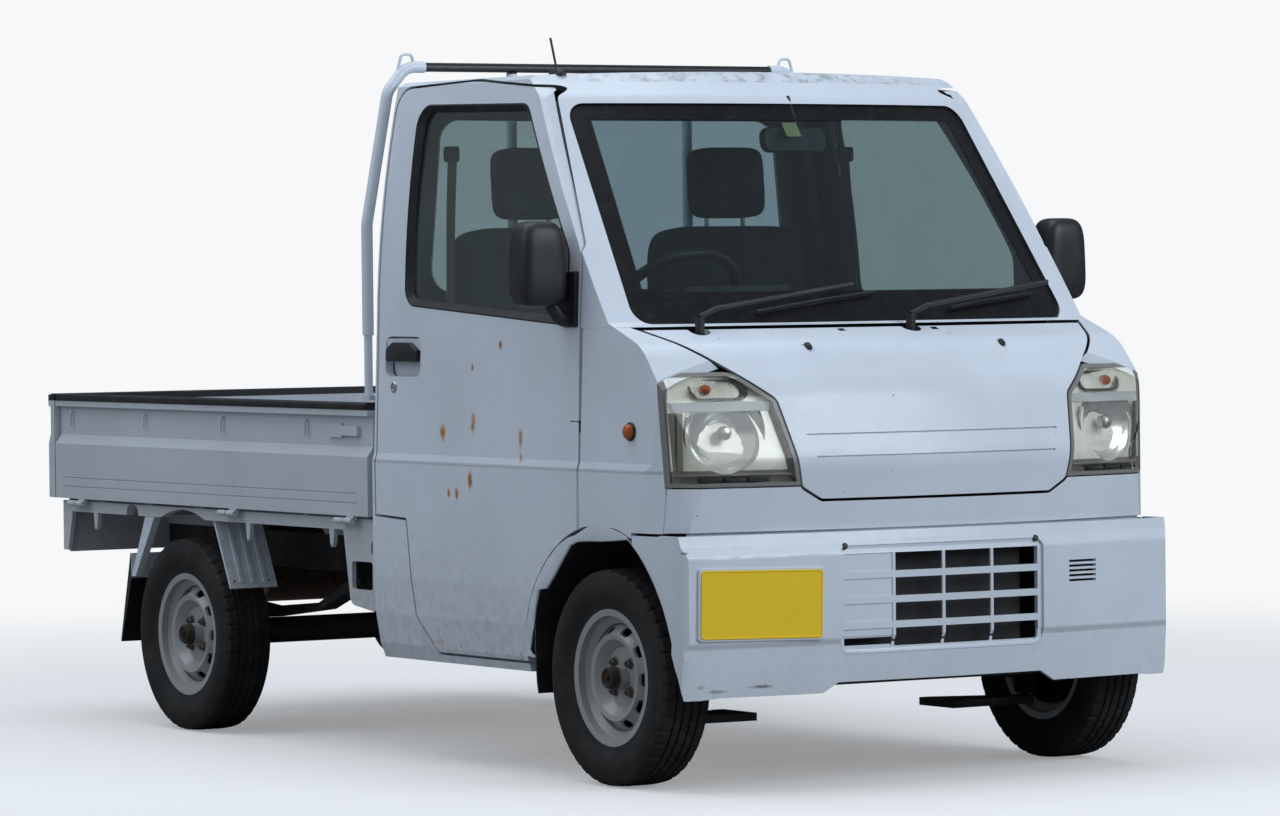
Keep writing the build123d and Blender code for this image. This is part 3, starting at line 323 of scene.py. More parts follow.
class Graph:
    """A material's node tree, with short methods for the nodes that the finishes use."""

    def __init__(self, name: str) -> None:
        """Make an empty material of the given name."""
        self.material = bpy.data.materials.new(name)
        self.material.use_nodes = True
        self.tree = self.material.node_tree
        self.tree.nodes.clear()
        self.output = self.node("ShaderNodeOutputMaterial")
        self.place = self.node("ShaderNodeTexCoord").outputs["Object"]

    def node(self, kind: str, **values: object) -> bpy.types.Node:
        """A new node with some of its properties set."""
        node = self.tree.nodes.new(kind)
        for key, value in values.items():
            setattr(node, key, value)
        return node

    def put(self, socket: Socket, value: object) -> None:
        """Link a socket to another, or set its constant."""
        if isinstance(value, Socket):
            self.tree.links.new(value, socket)
        elif isinstance(value, (tuple, list)) and len(value) == 3 and socket.type == "RGBA":
            socket.default_value = (*value, 1)
        else:
            socket.default_value = value

    def math(self, operation: str, a: object, b: object = 0.0, clamp: bool = False) -> Socket:
        """The result of a sum on one or two values."""
        node = self.node("ShaderNodeMath", operation=operation, use_clamp=clamp)
        self.put(node.inputs[0], a)
        self.put(node.inputs[1], b)
        return node.outputs[0]

    def axis(self, name: str) -> Socket:
        """The piece's own X, Y or Z in metres."""
        split = self.node("ShaderNodeSeparateXYZ")
        self.put(split.inputs[0], self.place)
        return split.outputs[name]

    def scaled(self, scale: Point) -> Socket:
        """The piece's own place, stretched along each axis."""
        node = self.node("ShaderNodeVectorMath", operation="MULTIPLY")
        self.put(node.inputs[0], self.place)
        self.put(node.inputs[1], scale)
        return node.outputs[0]

    def noise(self, scale: float, detail: float = 3.0, rough: float = 0.5,
              at: Optional[Socket] = None, seed: float = 0.0) -> Socket:
        """Cloudy noise from 0 to 1."""
        node = self.node("ShaderNodeTexNoise", noise_dimensions="4D")
        self.put(node.inputs["Vector"], at or self.place)
        self.put(node.inputs["W"], seed)
        self.put(node.inputs["Scale"], scale)
        self.put(node.inputs["Detail"], detail)
        self.put(node.inputs["Roughness"], rough)
        return node.outputs["Fac"]

    def cells(self, scale: float, at: Optional[Socket] = None) -> Socket:
        """Distance to the nearest of many scattered points."""
        node = self.node("ShaderNodeTexVoronoi")
        self.put(node.inputs["Vector"], at or self.place)
        self.put(node.inputs["Scale"], scale)
        return node.outputs["Distance"]

    def ramp(self, value: object, low: float, high: float) -> Socket:
        """0 below `low` and 1 above `high`, smooth between; reversed where `low` is the higher."""
        node = self.node("ShaderNodeMapRange", interpolation_type="SMOOTHSTEP")
        falling = low > high
        self.put(node.inputs["Value"], value)
        self.put(node.inputs["From Min"], high if falling else low)
        self.put(node.inputs["From Max"], low if falling else high)
        self.put(node.inputs["To Min"], 1.0 if falling else 0.0)
        self.put(node.inputs["To Max"], 0.0 if falling else 1.0)
        return node.outputs[0]

    def mix(self, share: object, a: object, b: object) -> Socket:
        """A colour between two others."""
        node = self.node("ShaderNodeMix", data_type="RGBA")
        self.put(node.inputs[0], share)
        self.put(node.inputs[6], a)
        self.put(node.inputs[7], b)
        return node.outputs[2]

    def blend_value(self, share: object, a: object, b: object) -> Socket:
        """A number between two others."""
        node = self.node("ShaderNodeMix", data_type="FLOAT")
        self.put(node.inputs[0], share)
        self.put(node.inputs[2], a)
        self.put(node.inputs[3], b)
        return node.outputs[0]

    def bump(self, height: object, strength: float, distance: float) -> Socket:
        """A normal bent by a height, in metres."""
        node = self.node("ShaderNodeBump")
        self.put(node.inputs["Height"], height)
        self.put(node.inputs["Strength"], strength)
        self.put(node.inputs["Distance"], distance)
        return node.outputs[0]

    def spots(self, places: Iterable[Sequence[float]], wander: Socket) -> Socket:
        """A mask of soft spots, each given as x, y, z, radius and height in metres."""
        total: object = 0.0
        for x, y, z, radius, height in places:
            shift = self.node("ShaderNodeVectorMath", operation="SUBTRACT")
            self.put(shift.inputs[0], self.place)
            self.put(shift.inputs[1], (x, y, z))
            stretch = self.node("ShaderNodeVectorMath", operation="MULTIPLY")
            self.put(stretch.inputs[0], shift.outputs[0])
            self.put(stretch.inputs[1], (1 / radius, 1 / radius, 1 / height))
            length = self.node("ShaderNodeVectorMath", operation="LENGTH")
            self.put(length.inputs[0], stretch.outputs[0])
            edge = self.math("ADD", length.outputs["Value"], self.math("MULTIPLY", wander, 1.2))
            total = self.math("MAXIMUM", total, self.ramp(edge, 1.7, 1.0))
        return total

    def surface(self, **values: object) -> bpy.types.Node:
        """A principled shader wired to the output, with its sockets set by name."""
        shader = self.node("ShaderNodeBsdfPrincipled")
        for key, value in values.items():
            self.put(shader.inputs[key.replace("_", " ")], value)
        self.put(self.output.inputs["Surface"], shader.outputs[0])
        return shader


FILM = (0.33, 0.31, 0.27)
STREAK = (0.36, 0.36, 0.34)
FLECK = (0.07, 0.06, 0.05)
PALE_RUST = (0.55, 0.25, 0.05)
DARK_RUST = (0.22, 0.08, 0.025)
RUBBED = (0.09, 0.085, 0.08)
# Painted shade: the thin dark line along the flanks' crease
CREASE_SHADE = (0.16, 0.17, 0.18)
SOOT = (0.16, 0.16, 0.15)
JET = (0.012, 0.012, 0.014)


@dataclass(frozen=True)
class Paint:
    """Worn body paint: faint patches, dark specks, grime low down and rust where it is put, with painted
    shade along the flanks' crease and on faces that look into the cab.

    Args:
        name: the material's name.
        colour: the clean paint's colour.
        dirt: how much grime it carries.
        rust: rust spots as x, y, z, radius and height in metres.
        rusty_below: height in metres under which its edges rust.
        black_above: height in metres above which it is black.
        black_bar: half width and height in metres of a black top bar.
        black_behind: Y in metres behind which it is black.
        scuffs: dark rubbed places, as x, y, z, half length and half height in metres.
        inside: colour of the faces that look into the cab, where it has one: painted shade on the body and
            doors, a dark grey on the roof.
        grimy_edge: whether soot lies along the roof's front edge.
        crease: height in metres of a pressed line on the flanks, along which a thin dark line of painted
            shade is put.
    """

    name: str = "body paint"
    colour: Colour = (0.66, 0.71, 0.79)
    dirt: float = 1.0
    rust: tuple[tuple[float, float, float, float, float], ...] = ()
    rusty_below: float = 0.0
    black_above: float = 0.0
    black_bar: Optional[Flat] = None
    black_behind: Optional[float] = None
    scuffs: tuple[tuple[float, float, float, float, float], ...] = ()
    inside: Optional[Colour] = None
    grimy_edge: bool = False
    crease: float = 0.0

    def build(self) -> Material:
        """Make the material."""
        g = Graph(self.name)
        fine = g.noise(38, 6, 0.65)
        worn = tuple(c * 0.90 for c in self.colour)
        colour = g.mix(g.ramp(g.noise(2.2, 5, 0.6), 0.35, 0.7), self.colour, worn)
        colour = self._rust(g, self._grime(g, colour, fine), fine)
        for layer in (self._marks, self._black, self._inside):
            colour = layer(g, colour)
        rough = g.blend_value(g.ramp(fine, 0.3, 0.8), 0.30, 0.46)
        g.surface(Base_Color=colour, Roughness=rough, Coat_Weight=0.25, Coat_Roughness=0.18,
                  Normal=g.bump(g.noise(9, 2), 0.06, 0.01))
        return g.material

    def _grime(self, g: Graph, colour: Socket, fine: Socket) -> Socket:
        """A film low down, thin streaks and dark flecks."""
        film = g.math("MULTIPLY", g.ramp(fine, 0.35, 0.75), g.ramp(g.axis("Z"), 0.75, 0.25))
        colour = g.mix(g.math("MULTIPLY", film, 0.45 * self.dirt), colour, FILM)
        streak = g.noise(1.0, 6, 0.7, g.scaled((30, 30, 1.6)), 3.0)
        streaks = g.math("MULTIPLY", g.ramp(streak, 0.60, 0.86), 0.22 * self.dirt)
        colour = g.mix(streaks, colour, STREAK)
        flecks = g.math("MULTIPLY", g.ramp(g.cells(24), 0.075, 0.045),
                        g.ramp(g.noise(4, 2, 0.5, seed=7), 0.52, 0.62))
        return g.mix(g.math("MULTIPLY", flecks, min(self.dirt, 1.0)), colour, FLECK)

    def _rust(self, g: Graph, colour: Socket, fine: Socket) -> Socket:
        """Rust at its spots and along low edges."""
        if not self.rust and not self.rusty_below:
            return colour
        rusty: object = g.spots(self.rust, g.noise(45, 4, 0.7, seed=2)) if self.rust else 0.0
        if self.rusty_below:
            low = g.ramp(g.axis("Z"), self.rusty_below, self.rusty_below - 0.03)
            edge = g.math("MULTIPLY", low, g.ramp(g.noise(14, 5, 0.7, seed=9), 0.56, 0.66))
            rusty = g.math("MAXIMUM", rusty, edge)
        return g.mix(rusty, colour, g.mix(g.ramp(fine, 0.40, 0.70), PALE_RUST, DARK_RUST))

    def _marks(self, g: Graph, colour: Socket) -> Socket:
        """Rubbed places, the painted shade along the crease on the flanks and the soot at the roof's edge.
        """
        if self.scuffs:
            rubbed = g.spots(self.scuffs, g.noise(60, 5, 0.8, seed=4))
            colour = g.mix(g.math("MULTIPLY", rubbed, 0.8), colour, RUBBED)
        # Painted shade: a thin dark line at the crease's height, on the flanks only, where its ledge falls
        # in shade
        if self.crease:
            off = g.math("ABSOLUTE", g.math("SUBTRACT", g.axis("Z"), self.crease))
            flank = g.ramp(g.math("ABSOLUTE", g.axis("X")), 0.716, 0.722)
            line = g.math("MULTIPLY", g.ramp(off, 0.0065, 0.001), flank)
            colour = g.mix(g.math("MULTIPLY", line, 0.42), colour, CREASE_SHADE)
        if self.grimy_edge:
            patchy = g.ramp(g.noise(22, 8, 0.75, seed=5), 0.46, 0.62)
            soot = g.math("MULTIPLY", patchy, g.ramp(g.axis("Y"), -0.80, -0.93))
            colour = g.mix(g.math("MULTIPLY", soot, 0.6), colour, SOOT)
        return colour

    def _black(self, g: Graph, colour: Socket) -> Socket:
        """The parts that are black: above a height, a top bar, and behind a place."""
        height = g.axis("Z")
        if self.black_above:
            top = g.ramp(height, self.black_above - 0.0005, self.black_above + 0.0005)
            colour = g.mix(top, colour, JET)
        if self.black_bar:
            half, level = self.black_bar
            middle = g.ramp(g.math("ABSOLUTE", g.axis("X")), half + 0.001, half)
            colour = g.mix(g.math("MULTIPLY", middle, g.ramp(height, level - 0.001, level)), colour, JET)
        if self.black_behind is not None:
            colour = g.mix(self._dark_end(g), colour, JET)
        return colour

    def _inside(self, g: Graph, colour: Socket) -> Socket:
        """The faces that look into the cab, coloured `inside`: painted shade on the body and doors, a dark
        grey on the roof.
        """
        return g.mix(self._lining(g), colour, self.inside) if self.inside else colour

    def _dark_end(self, g: Graph) -> Socket:
        """Black behind a place, and ahead of the front wheels."""
        y = g.axis("Y")
        rear = g.ramp(y, self.black_behind - 0.001, self.black_behind)
        return g.math("MAXIMUM", rear, g.ramp(y, -0.5, -0.6))

    def _lining(self, g: Graph) -> Socket:
        """1 on faces inside the skin that look towards the cab's middle, and 0 on the others: where the
        body's painted shade inside the cab goes.
        """
        middle = g.node("ShaderNodeCombineXYZ")
        g.put(middle.inputs[0], g.axis("X"))
        g.put(middle.inputs[1], g.math("ADD", g.axis("Y"), 0.66))
        g.put(middle.inputs[2], g.math("SUBTRACT", g.axis("Z"), 1.05))
        product = g.node("ShaderNodeVectorMath", operation="DOT_PRODUCT")
        g.put(product.inputs[0], middle.outputs[0])
        g.put(product.inputs[1], g.node("ShaderNodeTexCoord").outputs["Normal"])
        inward = g.ramp(product.outputs["Value"], 0.0, -0.02)
        skin: object = 0.7375
        for width, level, lean in ((0.719, 1.125, 0.068), (0.698, 1.435, 0.168)):
            drop = g.math("MULTIPLY", g.math("SUBTRACT", g.axis("Z"), level), lean)
            skin = g.math("MINIMUM", skin, g.math("SUBTRACT", width, drop))
        deep = g.ramp(g.math("SUBTRACT", skin, g.math("ABSOLUTE", g.axis("X"))), 0.024, 0.028)
        return g.math("MULTIPLY", g.math("MULTIPLY", inward, deep), g.ramp(g.axis("Z"), 0.655, 0.66))


@dataclass(frozen=True)
class Moulded:
    """Moulded plastic, rubber or cloth-like trim with a fine grain."""

    name: str
    colour: Colour
    rough: float = 0.5
    grain: float = 420.0
    depth: float = 0.25
    dust: float = 0.15
    metal: float = 0.0

    def build(self) -> Material:
        """Make the material."""
        g = Graph(self.name)
        pale = tuple(min(c + 0.10, 1.0) for c in self.colour)
        dusty = g.math("MULTIPLY", g.ramp(g.noise(12, 5, 0.65), 0.42, 0.8), self.dust)
        colour = g.mix(dusty, self.colour, pale)
        rough = g.blend_value(g.noise(30, 4), self.rough - 0.08, min(self.rough + 0.12, 1.0))
        g.surface(Base_Color=colour, Roughness=rough, Metallic=self.metal,
                  Normal=g.bump(g.noise(self.grain, 2, 0.6), self.depth, 0.0006))
        return g.material


@dataclass(frozen=True)
class Glass:
    """Clear or tinted glass, thin enough to look through."""

    name: str
    colour: Colour = (0.80, 0.90, 0.88)
    rough: float = 0.0
    ior: float = 1.45

    def build(self) -> Material:
        """Make the material."""
        g = Graph(self.name)
        g.surface(Base_Color=self.colour, Roughness=self.rough, IOR=self.ior, Transmission_Weight=1.0)
        return g.material


@dataclass(frozen=True)
class Metal:
    """Bare or plated metal with dirt in its hollows."""

    name: str
    colour: Colour
    rough: float = 0.3
    grime: float = 0.3
    grime_colour: Colour = (0.05, 0.045, 0.04)

    def build(self) -> Material:
        """Make the material."""
        g = Graph(self.name)
        cloud = g.ramp(g.noise(26, 6, 0.7), 0.45, 0.72)
        dirt = g.math("MULTIPLY", cloud, self.grime)
        rough = g.blend_value(dirt, self.rough, 0.8)
        g.surface(Base_Color=g.mix(dirt, self.colour, self.grime_colour), Metallic=1.0, Roughness=rough,
                  Normal=g.bump(g.noise(160, 3), 0.1, 0.0005))
        return g.material


@dataclass(frozen=True)
class Enamel:
    """A plain opaque plastic or enamel with an even gloss and faint patches."""

    name: str
    colour: Colour
    rough: float = 0.35

    def build(self) -> Material:
        """Make the material."""
        g = Graph(self.name)
        shade_share = g.math("MULTIPLY", g.ramp(g.noise(20, 4), 0.4, 0.8), 0.12)
        dim = tuple(c * 0.75 for c in self.colour)
        g.surface(Base_Color=g.mix(shade_share, self.colour, dim), Roughness=self.rough)
        return g.material


@dataclass(frozen=True)
class Screen:
    """The windscreen and rear pane: clear glass with a printed black border round the windscreen."""

    name: str = "screen glass"
    tint: Colour = (0.55, 0.66, 0.70)
    # Border's inner half width at the foot and at the top, and its heights, in metres
    half: Flat = (0.598, 0.548)
    span: Flat = (1.205, 1.640)

    def build(self) -> Material:
        """Make the material."""
        g = Graph(self.name)
        low, high = self.span
        height = g.axis("Z")
        share = g.math("DIVIDE", g.math("SUBTRACT", height, low), high - low)
        edge = g.math("ADD", self.half[0], g.math("MULTIPLY", share, self.half[1] - self.half[0]))
        sides = g.ramp(g.math("SUBTRACT", g.math("ABSOLUTE", g.axis("X")), edge), -0.002, 0.002)
        ends = g.math("MAXIMUM", g.ramp(height, high - 0.002, high + 0.002),
                      g.ramp(height, low + 0.002, low - 0.002))
        front = g.ramp(g.axis("Y"), -0.6, -0.7)
        border = g.math("MULTIPLY", g.math("MAXIMUM", sides, ends), front)
        clear = g.node("ShaderNodeBsdfPrincipled")
        g.put(clear.inputs["Base Color"], self.tint)
        g.put(clear.inputs["Roughness"], 0.0)
        g.put(clear.inputs["Transmission Weight"], 1.0)
        g.put(clear.inputs["IOR"], 1.45)
        ink = g.node("ShaderNodeBsdfPrincipled")
        dust = g.math("MULTIPLY", g.ramp(g.noise(30, 5, 0.7), 0.45, 0.8), 0.4)
        g.put(ink.inputs["Base Color"], g.mix(dust, (0.010, 0.010, 0.011), (0.05, 0.05, 0.05)))
        g.put(ink.inputs["Roughness"], 0.30)
        g.put(ink.inputs["Specular IOR Level"], 0.25)
        both = g.node("ShaderNodeMixShader")
        g.put(both.inputs[0], border)
        g.put(both.inputs[1], clear.outputs[0])
        g.put(both.inputs[2], ink.outputs[0])
        g.put(g.output.inputs["Surface"], both.outputs[0])
        return g.material


@dataclass(frozen=True)
class Lined:
    """The lamp housing: painted bezel outside, and above its divider a pale lining made near-white and
    barely metallic: partly its own colour, partly painted light standing in for a reflector's shine in the
    shaded housing.
    """

    name: str
    colour: Colour = (0.21, 0.21, 0.20)
    # Painted light: near-white, standing in for the shine of the reflector above the divider, which lies in
    # the housing's shade
    bright: Colour = (0.93, 0.93, 0.90)
    # Inner edge: X, Z and slope of each of its straight lines, in metres
    inner_edge: tuple[tuple[float, float, float], ...] = ((0.398, 0.737, 0.195), (0.439, 0.947, 1.314))

    def build(self) -> Material:
        """Make the material."""
        g = Graph(self.name)
        upper = self._within(g)
        dirt = g.math("MULTIPLY", g.ramp(g.noise(30, 5, 0.7), 0.45, 0.75), 0.25)
        # Painted light above the divider: the near-white lining, with dirt over the whole housing
        colour = g.mix(dirt, g.mix(upper, self.colour, self.bright), (0.30, 0.26, 0.17))
        g.surface(Base_Color=colour, Metallic=g.math("MULTIPLY", upper, 0.1), Roughness=0.3)
        return g.material

    def _within(self, g: Graph) -> Socket:
        """1 behind the lens and 0 on the frame round it."""
        across, height = g.math("ABSOLUTE", g.axis("X")), g.axis("Z")
        inner: object = 0.0
        for x, z, slope in self.inner_edge:
            line = g.math("ADD", g.math("MULTIPLY", g.math("SUBTRACT", height, z), slope), x)
            inner = g.math("MAXIMUM", inner, line)
        share = g.ramp(g.math("SUBTRACT", across, inner), 0.018, 0.022)
        for value, out, into in ((across, 0.709, 0.706), (height, 0.777, 0.780), (height, 1.005, 1.001)):
            share = g.math("MULTIPLY", share, g.ramp(value, out, into))
        return share


Finish = Paint | Moulded | Glass | Metal | Enamel | Screen | Lined


def dress(obj: Piece, material: Material) -> Piece:
    """Give an object its material and return it."""
    obj.data.materials.clear()
    obj.data.materials.append(material)
    return obj


@dataclass
class Viewpoint:
    """The camera, placed where the photograph was taken from."""

    place: Point = (-8137.8, -13042.9, 1275.4)
    yaw: float = 0.56888
    pitch: float = -0.02508
    roll: float = -0.010672
    focal_px: float = 5700.2
    width_px: float = 1280.0
    sensor: float = 36.0

    def build(self) -> None:
        """Create the camera and make it the scene's."""
        cy, sy, cp, sp = math.cos(self.yaw), math.sin(self.yaw), math.cos(self.pitch), math.sin(self.pitch)
        ahead = Vector((sy * cp, cy * cp, sp))
        right = Vector((cy, -sy, 0))
        up = right.cross(ahead)
        cr, sr = math.cos(self.roll), math.sin(self.roll)
        across = cr * right + sr * up
        upward = -sr * right + cr * up
        data = bpy.data.cameras.new("view")
        data.sensor_width = self.sensor
        data.lens = self.focal_px * self.sensor / self.width_px
        data.clip_end = 200
        camera = bpy.data.objects.new("view", data)
        turn = Matrix((across, upward, -ahead)).transposed()
        camera.matrix_world = Matrix.Translation(vec(self.place)) @ turn.to_4x4()
        bpy.context.scene.collection.objects.link(camera)
        bpy.context.scene.camera = camera


@dataclass
class Studio:
    """A pale floor, a pale surround and soft lamps."""

    floor_half: float = 40.0
    floor_colour: Colour = (0.80, 0.80, 0.80)
    surround: Colour = (0.38, 0.42, 0.47)
    mirrored: Colour = (0.15, 0.18, 0.21)
    backdrop: Colour = (0.93, 0.94, 0.95)
    behind_glass: Colour = (0.42, 0.45, 0.47)
    bounce: Colour = (0.22, 0.22, 0.22)
    fade: Flat = (2.2, 7.0)
    lift: float = 0.30
    lamp_colour: Colour = (0.86, 0.94, 1.0)
    # Lamp: name, place, aimed at, width, height, power in watts
    lamps: tuple[tuple[str, Point, Point, float, float, float], ...] = (
        ("top", (-1.4, 1.0, 7.0), (0.0, 0.0, 0.0), 6.0, 8.0, 290.0),
        ("front", (2.5, -8.0, 4.5), (0.0, -1.0, 0.9), 5.0, 4.0, 300.0),
        ("side", (-8.0, 2.0, 5.0), (0.0, 0.3, 0.8), 5.0, 4.0, 88.0),
    )

    def build(self) -> None:
        """Make the floor, the world and the lamps."""
        self._floor()
        self._world()
        self._lamps()

    def _floor(self) -> None:
        """The floor, which fades into the backdrop with distance."""
        half = self.floor_half / MM
        corners = [(-half, -half, 0), (half, -half, 0), (half, half, 0), (-half, half, 0)]
        floor = mesh_object("floor", corners, [(0, 1, 2, 3)], smooth=False)
        g = Graph("studio floor")
        shader = g.node("ShaderNodeBsdfDiffuse")
        path = g.node("ShaderNodeLightPath")
        seen = path.outputs["Is Camera Ray"]
        colour = g.mix(g.math("MULTIPLY", g.ramp(g.noise(1.5, 3), 0.4, 0.7), 0.04), self.floor_colour,
                       tuple(c * 0.9 for c in self.floor_colour))
        g.put(shader.inputs["Color"], g.mix(seen, self.bounce, colour))
        reach = g.node("ShaderNodeVectorMath", operation="LENGTH")
        g.put(reach.inputs[0], g.place)
        far = g.ramp(reach.outputs["Value"], self.fade[0], self.fade[1])
        white = g.node("ShaderNodeEmission")
        g.put(white.inputs["Color"], self.backdrop)
        both = g.node("ShaderNodeMixShader")
        share = g.blend_value(far, self.lift, 1.0)
        g.put(both.inputs[0], g.math("MULTIPLY", share, seen))
        g.put(both.inputs[1], shader.outputs[0])
        g.put(both.inputs[2], white.outputs[0])
        g.put(g.output.inputs["Surface"], both.outputs[0])
        dress(floor, g.material)
        floor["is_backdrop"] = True

    def _lamps(self) -> None:
        """The soft lamps, each turned to what it is aimed at."""
        for name, place, aim, width, height, power in self.lamps:
            data = bpy.data.lights.new(name, "AREA")
            data.shape = "RECTANGLE"
            data.size, data.size_y, data.energy = width, height, power
            data.color = self.lamp_colour
            lamp = bpy.data.objects.new(name, data)
            turn = (Vector(aim) - Vector(place)).to_track_quat("-Z", "Y")
            lamp.matrix_world = Matrix.Translation(place) @ turn.to_matrix().to_4x4()
            bpy.context.scene.collection.objects.link(lamp)

    def _world(self) -> None:
        """A soft even surround: white to the camera, dimmer through glass and in reflections."""
        world = bpy.data.worlds.new("surround")
        world.use_nodes = True
        tree = world.node_tree
        back = tree.nodes["Background"]
        path = tree.nodes.new("ShaderNodeLightPath")
        colour: Optional[Socket] = None
        for ray, seen in (("Is Glossy Ray", self.mirrored), ("Is Transmission Ray", self.behind_glass),
                          ("Is Camera Ray", self.backdrop)):
            mix = tree.nodes.new("ShaderNodeMix")
            mix.data_type = "RGBA"
            tree.links.new(path.outputs[ray], mix.inputs[0])
            mix.inputs[6].default_value = (*self.surround, 1)
            mix.inputs[7].default_value = (*seen, 1)
            if colour:
                tree.links.new(colour, mix.inputs[6])
            colour = mix.outputs[2]
        tree.links.new(colour, back.inputs["Color"])
        back.inputs["Strength"].default_value = 1.0
        bpy.context.scene.world = world


@dataclass
class Finishes:
    """Every finish of the truck, made once."""

    made: dict[str, Material] = field(default_factory=dict)

    def put(self, obj: Piece, finish: Finish) -> Piece:
        """Give an object a finish, whose material is made at its first use, and return the object."""
        if finish.name not in self.made:
            self.made[finish.name] = finish.build()
        return dress(obj, self.made[finish.name])


# Painted shade: the body's white paint on faces that look into the cab, as dark as it looks in shade
INSIDE_SHADE = (0.055, 0.072, 0.078)
# Height in metres of the flanks' crease, along which shade is painted
CREASE = 0.7745
BODY = Paint(inside=INSIDE_SHADE, crease=CREASE)
DOOR_LEFT = Paint("door paint left", inside=INSIDE_SHADE, rusty_below=0.33, crease=CREASE)
DOOR_RIGHT = Paint("door paint right", inside=INSIDE_SHADE, crease=CREASE, rust=(
    (-0.737, -0.520, 0.855, 0.020, 0.030), (-0.737, -0.669, 0.885, 0.016, 0.044),
    (-0.735, -0.884, 0.979, 0.010, 0.026), (-0.737, -0.901, 0.850, 0.014, 0.040),
    (-0.737, -0.666, 0.736, 0.014, 0.030), (-0.722, -0.795, 1.078, 0.010, 0.014),
    (-0.737, -0.885, 0.900, 0.010, 0.022), (-0.737, -0.600, 0.700, 0.010, 0.018),
    (-0.737, -0.590, 0.905, 0.007, 0.012), (-0.737, -0.560, 0.700, 0.008, 0.014),
    (-0.737, -0.905, 0.800, 0.010, 0.018), (-0.737, -0.730, 0.860, 0.008, 0.014),
    (-0.725, -0.660, 1.020, 0.007, 0.012)), rusty_below=0.335)
# Painted shade: the bed and gates carry the body's white paint, coloured as dark as its shaded side looks,
# with more dirt than the body
BED_PAINT_SHADED = Paint("bed paint", colour=(0.54, 0.57, 0.61), dirt=1.6)
GATE_PAINT_SHADED = Paint("gate paint", colour=(0.53, 0.56, 0.61), dirt=1.2, black_above=0.904)
ROOF_PAINT = Paint("roof paint", inside=(0.16, 0.17, 0.17), dirt=2.0, grimy_edge=True)
BUMPER_PAINT = Paint("bumper paint", dirt=0.3, scuffs=(
    (-0.684, -1.660, 0.262, 0.030, 0.010), (-0.521, -1.675, 0.258, 0.045, 0.006),
    (-0.640, -1.665, 0.250, 0.040, 0.007), (-0.725, -1.640, 0.585, 0.014, 0.004)))
GUARD_PAINT = Paint("guard paint", dirt=1.0, black_bar=(0.544, 1.785))
MUDGUARD = Paint("mudguard paint", dirt=1.5, black_behind=1.238)
BLACK = Moulded("black plastic", (0.016, 0.016, 0.018), 0.42)
RUBBER = Moulded("black rubber", (0.012, 0.012, 0.013), 0.6, 300, 0.3, 0.25)
TYRE = Moulded("tyre rubber", (0.010, 0.0095, 0.0095), 0.8, 260, 0.4, 0.18)
GREY = Moulded("grey trim", (0.030, 0.034, 0.037), 0.65)
LINING = Moulded("pale lining", (0.16, 0.165, 0.16), 0.8)
CLOTH = Moulded("seat cloth", (0.040, 0.046, 0.058), 0.9, 900, 0.7, 0.2)
STICKER = Enamel("sticker yellow", (0.55, 0.55, 0.22), 0.6)
WEBBING = Moulded("belt webbing", (0.09, 0.09, 0.085), 0.85, 1400, 0.6, 0.2)
CHASSIS = Moulded("chassis black", (0.016, 0.015, 0.014), 0.6, 90, 0.4, 0.5)
FINS = Moulded("radiator fins", (0.02, 0.02, 0.022), 0.7, 60, 0.5, 0.2)
IRON = Metal("dirty iron", (0.20, 0.18, 0.16), 0.6, 0.8)
RUSTY = Metal("rusty steel", (0.26, 0.19, 0.15), 0.65, 0.7, (0.12, 0.05, 0.02))
HUB = Metal("rusty hub", (0.10, 0.085, 0.075), 0.7, 0.7, (0.06, 0.035, 0.02))
DRUM = Metal("brake drum", (0.045, 0.040, 0.036), 0.75, 0.6)
WINDOW = Glass("window glass", (0.60, 0.70, 0.67))
SCREEN = Screen()
LENS = Glass("lamp lens", (0.97, 0.965, 0.93), 0.02, 1.25)
RED = Glass("red lens", (0.70, 0.03, 0.02), 0.10)
AMBER = Enamel("amber lens", (0.46, 0.095, 0.014), 0.2)
CHROME = Metal("bright reflector", (0.80, 0.82, 0.84), 0.22, 0.10, (0.35, 0.34, 0.30))
BOWL_GREY = Metal("indicator reflector", (0.10, 0.103, 0.107), 0.45, 0.2)
STEEL = Metal("plated steel", (0.60, 0.60, 0.60), 0.35, 0.35)
WHEEL_SILVER = Paint("wheel silver", colour=(0.32, 0.33, 0.35), dirt=2.2)
PLATE = Enamel("plate yellow", (0.90, 0.60, 0.008), 0.4)
WHITE_PLASTIC = Enamel("white plastic", (0.62, 0.66, 0.72), 0.4)
BEZEL = Lined("lamp bezel")
BEIGE = Enamel("lamp beige", (0.26, 0.255, 0.225), 0.45)


@dataclass
class Fittings:
    """A sub-assembly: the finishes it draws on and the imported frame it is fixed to."""

    finishes: Finishes
    frame: dict


